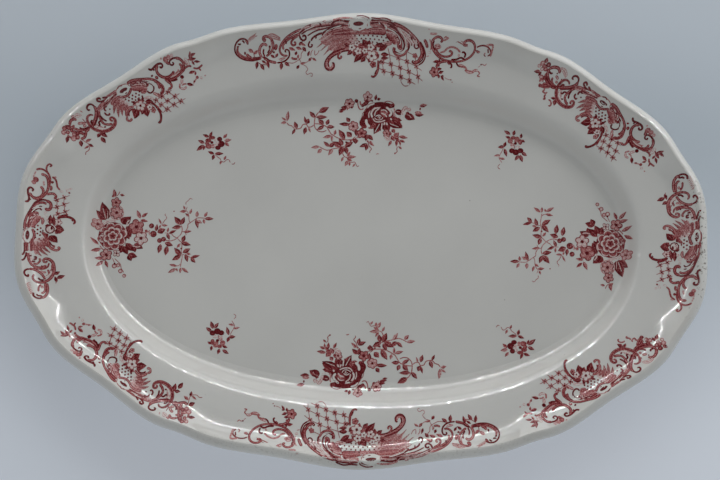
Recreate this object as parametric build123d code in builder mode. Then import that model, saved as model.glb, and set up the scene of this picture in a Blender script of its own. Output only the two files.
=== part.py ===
"""China serving platter: an oval glazed body with a scalloped, upturned rim and applied transfer prints.

Millimetres. +X runs along the platter, +Y across it and +Z up out of its well. The origin is the
middle of the foot ring's resting face. The body is one fired piece. Each print is its own thin film,
standing on the body's surface.
"""
import os
from math import cos, exp, hypot, pi, radians, sin

from build123d import *

# ---- driving dimensions ----------------------------------------------------------------------------
FOOT_HEIGHT = 4.0                  # from the resting face to the underside of the well
FLOOR_THICKNESS = 5.0              # of the body under the well
RIM_RISE = 22.0                    # from the well's floor to the crest of the rim
WELL_FLOOR = (147.3, 82.6)         # half axes of the oval where the cavetto wall meets the floor
SHOULDER = (154.0, 92.5)           # half axes of the oval where the cavetto wall meets the rim
OVAL_POWER = 2.12                  # 2 would be a true ellipse, and a higher power is squarer
FOOT_SETBACK = 10.0                # from the shoulder oval in to the foot ring's outer face
FOOT_WIDTH = 6.0
FOOT_ROUNDING = 1.2
FILM_THICKNESS = 0.2               # of a transfer print

# Rim reach: how far the rim's edge stands out from the shoulder oval. Each pair is an angle in degrees
# and a distance, at the top of a lobe or at the bottom of a notch. One quarter is listed.
RIM_REACH = [
    (0.0, 36.0),
    (12.0, 37.8),
    (22.5, 35.2),
    (25.5, 35.5),
    (41.0, 31.2),
    (52.5, 33.8),
    (57.5, 32.8),
    (63.0, 33.6),
    (75.0, 32.0),
    (90.0, 35.0),
]
NOTCHES = (21.0, 56.5)             # angles at which the rim's crease swings in behind a notch
NOTCH_SPREAD = 3.5                 # degrees either side of a notch over which it swings
RING_POINTS = 180

# ---- levels worked out from them -------------------------------------------------------------------
FLOOR_LEVEL = FOOT_HEIGHT + FLOOR_THICKNESS
FOOT_TOP = FLOOR_LEVEL - FLOOR_THICKNESS / 2.0     # where the foot ring ends, inside the body


def quarter_turn(turn):
    """Fold an angle in degrees into the first quarter, by the platter's two planes of symmetry."""
    folded = turn % 180.0
    return 180.0 - folded if folded > 90.0 else folded


def rim_reach(turn):
    """Distance from the shoulder oval to the rim's edge, eased between the listed lobes and notches."""
    angle = quarter_turn(turn)
    for (start, reach), (end, next_reach) in zip(RIM_REACH, RIM_REACH[1:]):
        if angle <= end:
            eased = (1.0 - cos(pi * (angle - start) / (end - start))) / 2.0
            return reach + (next_reach - reach) * eased
    return RIM_REACH[-1][1]


def notch_pull(turn):
    """1 behind a notch of the rim, falling smoothly to 0 away from it."""
    angle = quarter_turn(turn)
    return sum(exp(-((angle - notch) / NOTCH_SPREAD) ** 2) for notch in NOTCHES)


def rim_point(turn, share, shift, pull=0.0, half_axes=SHOULDER):
    """Point outside an oval by a share of the rim's reach plus a shift, both along the oval's normal."""
    angle = radians(turn)
    run, rise = cos(angle), sin(angle)
    scale = (abs(run) ** OVAL_POWER + abs(rise) ** OVAL_POWER) ** (-1.0 / OVAL_POWER)
    normal_x = abs(run) ** (OVAL_POWER - 1.0) / half_axes[0] * (1 if run >= 0 else -1)
    normal_y = abs(rise) ** (OVAL_POWER - 1.0) / half_axes[1] * (1 if rise >= 0 else -1)
    away = (share * rim_reach(turn) + shift - pull * notch_pull(turn)) / hypot(normal_x, normal_y)
    return (half_axes[0] * run * scale + normal_x * away, half_axes[1] * rise * scale + normal_y * away)


def cavetto_oval(part_way):
    """Half axes part of the way from the well's floor (0) to the shoulder (1), or just inside the floor."""
    return tuple(low + (high - low) * part_way for low, high in zip(WELL_FLOOR, SHOULDER))


def ring(share, shift, pull=0.0, half_axes=SHOULDER):
    """One closed ring of the platter, as a curve whose parameter is the angle round the platter."""
    turns = [360.0 * step / RING_POINTS for step in range(RING_POINTS + 1)]
    points = [rim_point(turn, share, shift, pull, half_axes) for turn in turns[:-1]]
    return Edge.make_spline(points, periodic=True, parameters=turns)


# Rings of the top surface: height above the well's floor, share of the rim's reach, shift, pull.
CAVETTO_RINGS = [(-0.45, 0.0), (-0.15, 0.35), (0.1, 1.5), (0.35, 4.0), (0.6, 7.0), (0.85, 9.4), (1.1, 10.7)]
RIM_RINGS = [
    (11.5, 0.12, 0.0, 0.0),
    (12.4, 0.26, 0.0, 0.0),
    (13.3, 0.40, 0.0, 0.8),
    (14.3, 1.00, -14.2, 1.8),
    (15.3, 1.00, -11.7, 2.4),
    (16.9, 1.00, -9.3, 2.0),
    (19.0, 1.00, -7.3, 1.0),
    (20.9, 1.00, -5.8, 0.3),
    (RIM_RISE, 1.00, -4.7, 0.0),
]

# Rings of the underside and the lip, from the well's underside up to the crest.
UNDERSIDE_RINGS = [
    (-FLOOR_THICKNESS, 0.0, -7.0, 0.0),
    (-4.4, 0.0, -3.2, 0.0),
    (-2.2, 0.0, 0.6, 0.0),
    (1.4, 0.0, 3.9, 0.0),
    (4.8, 0.0, 7.6, 0.0),
    (6.6, 0.35, 0.0, 0.0),
    (7.8, 0.54, 0.0, 0.8),
    (9.0, 1.00, -12.0, 1.8),
    (10.8, 1.00, -7.5, 1.0),
    (12.6, 1.00, -3.9, 0.0),
    (14.2, 1.00, -1.5, 0.0),
    (15.8, 1.00, -0.35, 0.0),
    (17.5, 1.00, 0.0, 0.0),
    (19.3, 1.00, -0.4, 0.0),
    (20.7, 1.00, -1.4, 0.0),
    (21.6, 1.00, -2.6, 0.0),
    (RIM_RISE, 1.00, -3.9, 0.0),
]

# ---- printed films: where each was laid by hand ----------------------------------------------------------
# Border prints: name, angle of the middle of its lobe, how far clockwise of that the print's own middle
# was laid, half its length, and how far in from the rim's edge it reaches.
BORDER_PRINTS = [
    ("border_print_top", 90.0, -1.5, 73.0, 36.0),
    ("border_print_upper_right", 41.0, 3.0, 43.5, 33.0),
    ("border_print_right", 0.0, -0.5, 38.5, 32.0),
    ("border_print_lower_right", 319.0, 0.0, 43.5, 33.0),
    ("border_print_bottom", 270.0, -4.5, 73.0, 36.0),
    ("border_print_lower_left", 221.0, -3.0, 43.5, 33.0),
    ("border_print_left", 180.0, -0.5, 38.5, 32.0),
    ("border_print_upper_left", 139.0, -1.0, 44.0, 33.0),
]
OUTER_MARGIN = 5.2                 # from the rim's edge in to a border print
CREST_SHIFT = -4.3                 # from the rim's edge in to the middle of its crest
WALK_STEP = 0.05                   # degrees, when measuring a distance round the rim
# Outline of a border print: share of its half length going clockwise, and share of its depth going inward.
BORDER_SHAPE = [
    (-1.0, 0.3),
    (-0.85, 0.04),
    (-0.45, 0.02),
    (0.0, 0.0),
    (0.45, 0.02),
    (0.85, 0.04),
    (1.0, 0.3),
    (0.9, 0.68),
    (0.6, 0.85),
    (0.3, 1.0),
    (0.05, 0.95),
    (-0.2, 0.78),
    (-0.45, 0.82),
    (-0.8, 0.72),
]
# Sprays and sprigs in the well: name, centre, the way the spray faces; and each shape's reach from its
# centre in evenly spaced directions.
LONG_SPRAYS = [("spray_top", (-4.0, 67.0), 0.0), ("spray_bottom", (5.5, -68.3), 180.0)]
LONG_SPRAY_REACHES = [40.0, 24.0, 18.0, 19.0, 30.0, 40.0, 27.0, 20.0, 19.0, 27.0]
ROUND_SPRAYS = [("spray_left", (-118.0, 2.0), 0.0), ("spray_right", (118.2, 0.7), 180.0)]
ROUND_SPRAY_REACHES = [35.0, 27.0, 19.0, 19.0, 29.0, 33.0, 29.0, 23.0, 22.0, 28.0]
SPRIGS = [
    ("sprig_upper_left", (-84.0, 51.0)),
    ("sprig_upper_right", (83.5, 56.0)),
    ("sprig_lower_right", (88.0, -53.0)),
    ("sprig_lower_left", (-76.0, -54.5)),
]
SPRIG_REACHES = [13.0] * 8

os.makedirs("parts", exist_ok=True)

# ---- space above the platter: bounded below by the whole top surface ---------------------------------
with BuildPart() as space_above:
    for part_way, height in CAVETTO_RINGS:
        with BuildSketch(Plane.XY.offset(FLOOR_LEVEL + height)):
            with BuildLine():
                add(ring(0.0, 0.0, half_axes=cavetto_oval(part_way)))
            make_face()
    for height, share, shift, pull in RIM_RINGS:
        with BuildSketch(Plane.XY.offset(FLOOR_LEVEL + height)):
            with BuildLine():
                add(ring(share, shift, pull))
            make_face()
    loft()

# ---- platter body: shell and foot ring ---------------------------------------------------------------
with BuildPart() as platter_body:
    for height, share, shift, pull in UNDERSIDE_RINGS:
        with BuildSketch(Plane.XY.offset(FLOOR_LEVEL + height)):
            with BuildLine():
                add(ring(share, shift, pull))
            make_face()
    loft()
    add(space_above.part, mode=Mode.SUBTRACT)
    with BuildSketch(Plane.XY):
        with BuildLine():
            add(ring(0.0, -FOOT_SETBACK))
        make_face()
        with BuildLine():
            add(ring(0.0, -FOOT_SETBACK - FOOT_WIDTH))
        make_face(mode=Mode.SUBTRACT)
    extrude(amount=FOOT_TOP)
    fillet(platter_body.edges().group_by(Axis.Z)[0], FOOT_ROUNDING)
platter_body.part.label = "platter_body"
export_step(platter_body.part, "parts/platter_body.step")

# ---- printed films -------------------------------------------------------------------------------------
raised_space = space_above.part.moved(Location((0.0, 0.0, FILM_THICKNESS)))


def cut_film(name, outline):
    """Cut one print's film, inside a closed outline, from the layer just above the top surface."""
    with BuildPart() as film:
        with BuildSketch(Plane.XY.offset(FLOOR_LEVEL)):
            with BuildLine():
                Spline(outline, periodic=True)
            make_face()
        extrude(amount=RIM_RISE)
        add(space_above.part, mode=Mode.INTERSECT)
        add(raised_space, mode=Mode.SUBTRACT)
    film.part.label = name
    export_step(film.part, f"parts/{name}.step")


def clockwise_from(centre, along):
    """Angle reached by going a distance clockwise round the rim's crest from the angle of a centre."""
    turn = centre
    step = -WALK_STEP if along > 0.0 else WALK_STEP
    gone = 0.0
    while gone < abs(along):
        here = rim_point(turn, 1.0, CREST_SHIFT)
        there = rim_point(turn + step, 1.0, CREST_SHIFT)
        gone += hypot(there[0] - here[0], there[1] - here[1])
        turn += step
    return turn


def border_outline(centre, middle, half_length, inner_margin):
    """Outline of a border print: BORDER_SHAPE stretched, and bent to follow the rim."""
    outline = []
    for along_share, depth_share in BORDER_SHAPE:
        turn = clockwise_from(centre, middle + along_share * half_length)
        inward = OUTER_MARGIN + depth_share * (inner_margin - OUTER_MARGIN)
        outline.append(rim_point(turn, 1.0, -inward))
    return outline


def bouquet_outline(centre, reaches, facing=0.0):
    """Closed outline round a centre, from its reach in evenly spaced directions."""
    spacing = 360.0 / len(reaches)
    directions = [radians(facing + spacing * index) for index in range(len(reaches))]
    return [
        (centre[0] + reach * cos(direction), centre[1] + reach * sin(direction))
        for reach, direction in zip(reaches, directions)
    ]


for name, centre, middle, half_length, inner_margin in BORDER_PRINTS:
    cut_film(name, border_outline(centre, middle, half_length, inner_margin))
for name, centre, facing in LONG_SPRAYS:
    cut_film(name, bouquet_outline(centre, LONG_SPRAY_REACHES, facing))
for name, centre, facing in ROUND_SPRAYS:
    cut_film(name, bouquet_outline(centre, ROUND_SPRAY_REACHES, facing))
for name, centre in SPRIGS:
    cut_film(name, bouquet_outline(centre, SPRIG_REACHES))
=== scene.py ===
import math
from functools import partial

import bpy
import numpy as np
from mathutils import Matrix, Vector
from mathutils.bvhtree import BVHTree
from mathutils.interpolate import poly_3d_calc


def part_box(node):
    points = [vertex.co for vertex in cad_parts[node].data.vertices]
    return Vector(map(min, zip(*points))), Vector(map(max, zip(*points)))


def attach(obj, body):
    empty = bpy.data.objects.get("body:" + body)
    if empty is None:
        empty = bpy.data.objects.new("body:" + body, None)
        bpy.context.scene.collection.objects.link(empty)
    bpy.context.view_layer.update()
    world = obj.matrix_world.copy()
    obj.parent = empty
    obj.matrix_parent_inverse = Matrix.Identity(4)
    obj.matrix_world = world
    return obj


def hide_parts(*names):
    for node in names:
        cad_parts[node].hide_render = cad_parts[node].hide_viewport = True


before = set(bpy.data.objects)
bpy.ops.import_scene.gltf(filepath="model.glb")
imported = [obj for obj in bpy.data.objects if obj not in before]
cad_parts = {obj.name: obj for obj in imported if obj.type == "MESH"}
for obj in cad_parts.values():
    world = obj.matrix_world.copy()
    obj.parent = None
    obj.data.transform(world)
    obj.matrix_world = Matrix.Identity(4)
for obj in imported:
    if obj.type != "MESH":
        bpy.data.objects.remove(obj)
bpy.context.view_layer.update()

MM = 0.001
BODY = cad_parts["platter_body"]
BODY_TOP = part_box("platter_body")[1].z
WELL_LEVEL = 9.0 * MM              # of the well's floor
LIP_LEVEL = BODY_TOP - 4.5 * MM    # where the rim is widest
OVERHEAD = 0.2                     # a height clear of the platter, to look down from
CLEAR_REACH = 0.1                  # past the rim's edge from any point of the guide
RIM_GUIDE = (0.154, 0.0925)        # half axes of the oval inside the rim that the border prints follow
RIM_GUIDE_POWER = 2.12             # of its superellipse; 2 would be a plain oval
PRINT_INSET = 12.0 * MM            # from the rim's edge in to the line along which border prints are measured


# ---- the surface that the prints lie on ----------------------------------------------------------------
class Surface:
    """The body's top surface: points and smooth normals straight below a place on the plan."""

    def __init__(self, mesh):
        self.corners = [vertex.co.copy() for vertex in mesh.vertices]
        self.faces = [tuple(polygon.vertices) for polygon in mesh.polygons]
        self.normals = [
            [mesh.corner_normals[loop].vector.copy() for loop in polygon.loop_indices]
            for polygon in mesh.polygons
        ]
        self.tree = BVHTree.FromPolygons(self.corners, self.faces)

    def below(self, x, y):
        """Point on the surface and its normal at (x, y). Past the rim's edge, a level point at the lip."""
        point, flat_normal, index, _ = self.tree.ray_cast(Vector((x, y, OVERHEAD)), Vector((0.0, 0.0, -1.0)))
        if point is None:
            return Vector((x, y, LIP_LEVEL)), Vector((0.0, 0.0, 1.0))
        weights = poly_3d_calc([self.corners[corner] for corner in self.faces[index]], point)
        normal = Vector((0.0, 0.0, 0.0))
        for weight, corner_normal in zip(weights, self.normals[index]):
            normal += weight * corner_normal
        return point, normal.normalized()

    def edge_distance(self, start, outward):
        """Distance from a point out to the rim's edge."""
        outward = Vector((outward[0], outward[1], 0.0))
        far = Vector((start[0], start[1], LIP_LEVEL)) + outward * CLEAR_REACH
        hit = self.tree.ray_cast(far, -outward)[0]
        return CLEAR_REACH - (hit - far).length


class RimGuide:
    """Turns a distance along the rim and a distance in from its edge into a place on the plan."""

    STEPS = 1440

    def __init__(self, surface):
        self.turns = np.linspace(0.0, 360.0, self.STEPS + 1)
        run = np.cos(np.radians(self.turns))
        rise = np.sin(np.radians(self.turns))
        power = RIM_GUIDE_POWER
        scale = (np.abs(run) ** power + np.abs(rise) ** power) ** (-1.0 / power)
        self.points = np.stack([RIM_GUIDE[0] * run * scale, RIM_GUIDE[1] * rise * scale], axis=1)
        normals = np.stack(
            [
                np.sign(run) * np.abs(run) ** (power - 1.0) / RIM_GUIDE[0],
                np.sign(rise) * np.abs(rise) ** (power - 1.0) / RIM_GUIDE[1],
            ],
            axis=1,
        )
        self.normals = normals / np.linalg.norm(normals, axis=1, keepdims=True)
        self.reach = np.array(
            [surface.edge_distance(point, normal) for point, normal in zip(self.points, self.normals)]
        )
        track = self.points + self.normals * (self.reach - PRINT_INSET)[:, None]
        steps = np.linalg.norm(np.diff(track, axis=0), axis=1)
        self.lengths = np.concatenate([[0.0], np.cumsum(steps)])

    def place(self, centre, drawn):
        """Plan positions of drawn points: millimetres clockwise of the angle `centre`, and inward."""
        start = np.interp(centre % 360.0, self.turns, self.lengths)
        turns = np.interp((start - drawn[:, 0] * MM) % self.lengths[-1], self.lengths, self.turns)
        columns = [
            np.interp(turns, self.turns, column)
            for column in (*self.points.T, *self.normals.T, self.reach)
        ]
        outward = columns[4] - drawn[:, 1] * MM
        return np.stack([columns[0] + columns[2] * outward, columns[1] + columns[3] * outward], axis=1)


def flat_place(centre, facing, drawn):
    """Plan positions of points drawn in a flat frame about `centre` (metres), turned by `facing` degrees."""
    run = math.cos(math.radians(facing))
    rise = math.sin(math.radians(facing))
    x = centre[0] + (drawn[:, 0] * run - drawn[:, 1] * rise) * MM
    y = centre[1] + (drawn[:, 0] * rise + drawn[:, 1] * run) * MM
    return np.stack([x, y], axis=1)


# ---- drawing tools -------------------------------------------------------------------------------------
def smooth_path(points, step):
    """A Catmull-Rom curve through points, sampled about every `step`, with its control parameter."""
    points = np.asarray(points, float)
    ends = np.vstack([2 * points[0] - points[1], points, 2 * points[-1] - points[-2]])
    samples = []
    parameters = []
    for index in range(len(points) - 1):
        before, start, end, after = ends[index:index + 4]
        count = max(1, int(math.ceil(np.linalg.norm(end - start) / step)))
        for part in np.arange(count) / count:
            samples.append(
                0.5 * (2 * start + (end - before) * part
                       + (2 * before - 5 * start + 4 * end - after) * part ** 2
                       + (3 * start - before - 3 * end + after) * part ** 3)
            )
            parameters.append(index + part)
    samples.append(points[-1])
    parameters.append(len(points) - 1.0)
    return np.array(samples), np.array(parameters) / (len(points) - 1.0)


def spread(values, parameters):
    """One value, or values evenly spaced along a path, at each parameter from 0 to 1."""
    values = np.atleast_1d(np.asarray(values, float))
    return np.interp(parameters, np.linspace(0.0, 1.0, len(values)), values)


class Drawing:
    """The flat shapes of one print in millimetres. A point's tone goes from 0, bare glaze, to 1, full ink."""

    LANE = 0.9                     # widest strip of a ribbon
    ENGRAVED_WIDTH = 1.05          # a stroke this wide or wider is dark lines with paler ones between
    LINE_SPACING = 1.35            # between the dark lines of such a stroke
    PALE_LINE = -0.42              # how much lighter the paler lines are
    BLEED = 1.14                   # how far ink spreads past the width it was drawn with
    BLUNTNESS = 0.12               # square of a round end's width at its very tip, against the stroke's
    RING_STEP = 0.9                # between the rings of points that make up a disc
    CENTRE_HOLE = 0.02             # innermost ring of a disc, against its rim, so that no face collapses

    def __init__(self, origin=(0.0, 0.0)):
        self.points = []
        self.tones = []
        self.levels = []
        self.faces = []
        self.boxes = []            # of each shape: low x, low y, high x, high y, level
        self.origin = origin       # where the shapes' own zero lies

    def next_level(self, rows):
        """One more than the level of every earlier shape whose box meets this one's."""
        low_x, low_y = rows.min(axis=(0, 1)).tolist()
        high_x, high_y = rows.max(axis=(0, 1)).tolist()
        level = 0
        for box in self.boxes:
            if box[4] >= level and low_x < box[2] and high_x > box[0] and low_y < box[3] and high_y > box[1]:
                level = box[4] + 1
        self.boxes.append((low_x, low_y, high_x, high_y, level))
        return level

    def grid(self, rows, tones, closed=False):
        """Adds a shape of four-sided faces between rows of points, on top of the shapes it meets.

        Closed rows are rings, whose last point joins their first.
        """
        first = len(self.points)
        width = len(rows[0])
        rows = np.asarray(rows) + self.origin
        level = self.next_level(rows)
        for row, row_tones in zip(rows, tones):
            self.points.extend(tuple(point) for point in row)
            self.tones.extend(row_tones)
            self.levels.extend([level] * width)
        for row in range(len(rows) - 1):
            for column in range(width if closed else width - 1):
                following = (column + 1) % width
                low = first + row * width
                high = low + width
                self.faces.append((low + column, low + following, high + following, high + column))

    def engraving(self, width):
        """How the tone of a stroke changes from one side of it to the other."""
        if width < self.ENGRAVED_WIDTH:
            return (0.0, 0.0)
        pale_lines = max(1, round(width / self.LINE_SPACING))
        return (0.0, self.PALE_LINE) * pale_lines + (0.0,)

    def ribbon(self, points, width, tone=0.95, sides=None, step=0.55):
        """A stroke with round ends. Width and tone may change along it, and sides shades it across."""
        path, parameters = smooth_path(points, step)
        widths = spread(width, parameters) * self.BLEED
        along = np.concatenate([[0.0], np.cumsum(np.linalg.norm(np.diff(path, axis=0), axis=1))])
        for distance in (along, along[-1] - along):
            cap = np.maximum(widths / 2.0, 0.05)
            near = np.clip(distance / cap, 0.0, 1.0)
            widths = widths * np.sqrt(np.clip(1.0 - (1.0 - near) ** 2, self.BLUNTNESS, 1.0))
        tangents = np.gradient(path, axis=0)
        tangents /= np.maximum(np.linalg.norm(tangents, axis=1, keepdims=True), 1e-9)
        across = np.stack([-tangents[:, 1], tangents[:, 0]], axis=1)
        if sides is None:
            sides = self.engraving(max(widths))
        lanes = (len(sides) - 1) * int(math.ceil(max(widths) / self.LANE / (len(sides) - 1)))
        offsets = np.linspace(-0.5, 0.5, lanes + 1)
        shade = spread(sides, offsets + 0.5)
        tones = np.clip(spread(tone, parameters)[:, None] + shade[None, :], 0.0, 1.0)
        rows = path[:, None, :] + across[:, None, :] * (widths[:, None] * offsets[None, :])[:, :, None]
        self.grid(rows, tones)

    def ribbons(self, strokes, tone=0.95):
        """Several strokes of one tone, each a width followed by its points."""
        for width, *points in strokes:
            self.ribbon(points, width, tone)

    def leaf(self, base, tip, width, tone=0.85, bend=0.0):
        """A pointed leaf, darker on one half, with a pale rib."""
        base, tip = np.array(base, float), np.array(tip, float)
        middle = (base + tip) / 2.0 + np.array([base[1] - tip[1], tip[0] - base[0]]) * bend
        self.ribbon([base, middle, tip], (0.15 * width, 0.85 * width, width, 0.6 * width, 0.05), tone,
                    sides=(0.05, 0.0, -0.32), step=0.6)
        if width > 1.7:
            self.ribbon([base, middle, base + (tip - base) * 0.85], (0.22, 0.12), tone - 0.4, step=0.9)

    def leaves(self, *leaves, tone=0.85, growth=1.0):
        """Several leaves, each (base, tip, width), grown from their bases by a factor."""
        for base, tip, width in leaves:
            base, tip = np.array(base, float), np.array(tip, float)
            self.leaf(base, base + (tip - base) * growth, width * growth, tone)

    def disc(self, centre, radii, tone=0.95, rim_tone=None, facing=0.0, sides=10):
        """A filled ellipse, shaded from its middle to its rim."""
        radii = np.atleast_1d(np.asarray(radii, float)) * np.ones(2)
        rings = max(1, int(math.ceil(max(radii) / self.RING_STEP)))
        angles = np.linspace(0.0, 2.0 * math.pi, sides, endpoint=False)
        turn = math.radians(facing)
        rows = []
        tones = []
        for ring in range(rings + 1):
            part = max(ring / rings, self.CENTRE_HOLE)
            x = np.cos(angles) * radii[0] * part
            y = np.sin(angles) * radii[1] * part
            rows.append(np.stack([
                centre[0] + x * math.cos(turn) - y * math.sin(turn),
                centre[1] + x * math.sin(turn) + y * math.cos(turn)], axis=1))
            outer = tone if rim_tone is None else rim_tone
            tones.append(np.full(sides, tone + (outer - tone) * part))
        self.grid(rows, tones, closed=True)

    def ring(self, centre, radii, width, tone=0.95, start=0.0, end=360.0, facing=0.0):
        """An elliptical arc drawn as a stroke."""
        radii = np.atleast_1d(np.asarray(radii, float)) * np.ones(2)
        count = max(4, int(abs(end - start) / 40.0))
        turn = math.radians(facing)
        points = []
        for angle in np.radians(np.linspace(start, end, count + 1)):
            x = math.cos(angle) * radii[0]
            y = math.sin(angle) * radii[1]
            points.append((centre[0] + x * math.cos(turn) - y * math.sin(turn),
                           centre[1] + x * math.sin(turn) + y * math.cos(turn)))
        self.ribbon(points, width, tone)

    def flower(self, centre, radius, petal_tone=0.35, outline=0.85, petals=5, facing=0.0):
        """Round petals with a dark outline about a dark heart."""
        for pass_radius, tone in ((0.5, outline), (0.37, petal_tone)):
            for petal in range(petals):
                angle = math.radians(facing + 360.0 * petal / petals)
                middle = (centre[0] + math.cos(angle) * radius * 0.56,
                          centre[1] + math.sin(angle) * radius * 0.56)
                self.disc(middle, (radius * pass_radius, radius * pass_radius * 0.92), tone,
                          min(tone + 0.12, 1.0), facing=math.degrees(angle))
        self.disc(centre, radius * 0.24, 1.0, sides=8)

    def hatch(self, start, end, toward, count, width=0.28, tone=0.45):
        """Fine parallel strokes, set off along a line from start to end, each reaching by `toward`."""
        start, end, toward = (np.array(value, float) for value in (start, end, toward))
        for part in np.linspace(0.0, 1.0, count):
            base = start + (end - start) * part
            bow = np.array([toward[1], -toward[0]]) * 0.12
            self.ribbon([base, base + toward * 0.5 + bow, base + toward], (width, width, 0.1), tone, step=0.9)

    def fan(self, root, tips, width, tone=0.6, bend=0.12):
        """Feather strokes that spread from a root line to tips. Root and tips are pairs of equal number."""
        for base, tip in zip(root, tips):
            base, tip = np.array(base, float), np.array(tip, float)
            middle = (base + tip) / 2.0 + np.array([base[1] - tip[1], tip[0] - base[0]]) * bend
            self.ribbon([base, middle, tip], (0.5 * width, 0.85 * width, 0.7 * width, 0.2), tone,
                        sides=(0.1, -0.4, 0.0), step=0.7)
            self.ribbon([base, middle, tip], (0.3, 0.25, 0.1), min(tone + 0.3, 1.0), step=0.9)

    def trellis(self, rows, columns, dot=0.65):
        """A lattice of wavy lines, with a small four-petalled flower at each point of its rows."""
        for line in (*rows, *columns):
            self.ribbon(line, 0.34, 0.65, step=1.0)
        for crossing in (point for row in rows for point in row):
            for facing in (45.0, 135.0, 225.0, 315.0):
                angle = math.radians(facing)
                petal = (crossing[0] + math.cos(angle) * dot * 1.6, crossing[1] + math.sin(angle) * dot * 1.6)
                self.disc(petal, dot * 0.85, 0.55, sides=7)
            self.disc(crossing, dot * 0.9, 1.0, sides=8)


# ---- the large border print ----------------------------------------------------------------------------
# x runs clockwise along the rim from the middle of the lobe, and y inward from the rim's edge.
def draw_large_left_scrolls(drawing):
    """The two C-scrolls at the end that leads, with their leaves."""
    drawing.ribbon([(-72.4, 11.2), (-73.2, 13.4), (-71.8, 16.0), (-69.2, 17.9), (-65.5, 18.9), (-60.5, 18.8)],
                   (0.9, 1.5, 1.9, 1.3), 0.9)
    drawing.ribbons([
        (0.75, (-66.7, 10.8), (-66.5, 9.0), (-68.3, 7.8), (-70.8, 7.9), (-73.2, 9.6), (-74.4, 12.2),
         (-74.1, 14.8), (-72.2, 17.2), (-69.2, 18.9), (-65.5, 19.6), (-61.5, 19.2)),
        (1.0, (-67.6, 8.6), (-66.8, 9.5), (-66.9, 10.6)),
        (0.8, (-69.5, 8.5), (-68.6, 9.0), (-68.5, 9.9)),
        (0.8, (-72.2, 9.6), (-71.2, 10.0), (-70.3, 9.8)),
        (0.8, (-73.0, 11.0), (-71.6, 11.0)),
        (0.9, (-69.1, 14.1), (-69.3, 15.8)),
        (1.5, (-68.4, 15.4), (-67.6, 16.9), (-66.0, 18.2)),
        (0.8, (-65.5, 18.0), (-62.5, 18.3), (-60.0, 17.8)),
    ])
    drawing.hatch((-66.2, 9.9), (-62.4, 8.4), (1.6, -2.6), 7)
    drawing.ribbon([(-66.3, 8.7), (-64.3, 7.6), (-60.6, 7.2)], 0.4, 0.4)
    drawing.ribbons([
        (1.3, (-60.3, 18.4), (-61.0, 15.6), (-60.2, 12.9), (-58.4, 11.4), (-56.9, 11.6), (-56.3, 12.6)),
        (0.8, (-58.5, 18.2), (-58.9, 15.8), (-58.2, 13.8)),
    ], tone=0.85)
    drawing.ribbons([
        (1.1, (-56.6, 8.6), (-57.0, 9.8), (-57.8, 9.3), (-57.5, 8.2), (-56.0, 7.8), (-54.2, 8.4),
         (-52.9, 9.9), (-52.6, 12.2), (-53.4, 14.5), (-55.2, 16.5), (-57.6, 18.0)),
        (0.8, (-54.9, 12.2), (-55.1, 14.4), (-56.6, 16.4)),
        (1.5, (-51.0, 11.9), (-51.2, 13.3), (-52.1, 15.0)),
        (1.4, (-59.2, 18.6), (-57.3, 20.2), (-54.6, 21.4), (-52.3, 22.0)),
        (0.8, (-60.0, 18.2), (-57.8, 19.0), (-56.0, 20.8)),
    ])
    drawing.ribbon([(-53.8, 8.6), (-53.7, 11.8), (-55.4, 14.8)], 0.5, 0.5)
    for offset in (0.0, 0.9, 1.8):
        drawing.ribbon([(-55.2, 7.4 + offset * 0.3), (-52.6, 7.0 + offset), (-50.4, 7.8 + offset),
                        (-48.2, 9.2 + offset * 0.6)], (0.3, 0.6, 0.4), 0.45)
    drawing.leaves(
        ((-63.2, 20.4), (-64.6, 24.6), 1.7), ((-61.6, 21.8), (-60.1, 25.6), 1.9),
        ((-57.6, 20.4), (-57.1, 24.9), 1.7), ((-60.6, 20.0), (-58.2, 22.2), 1.3),
        ((-49.2, 22.2), (-50.4, 26.2), 1.9), ((-47.6, 22.0), (-44.9, 24.6), 1.9),
        ((-55.0, 17.4), (-52.7, 19.4), 1.5), ((-50.6, 16.9), (-52.7, 19.2), 1.3),
        ((-53.6, 16.4), (-52.2, 15.8), 1.2), tone=0.9)
    drawing.leaves(((-66.9, 13.0), (-64.2, 15.4), 1.9), ((-64.4, 16.2), (-61.4, 14.1), 1.5), tone=0.65)
    drawing.ribbons([(0.35, (-64.3, 15.2), (-64.4, 18.0)),
                     (0.4, (-63.6, 20.2), (-61.2, 22.2), (-57.4, 22.8))], 0.75)


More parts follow.
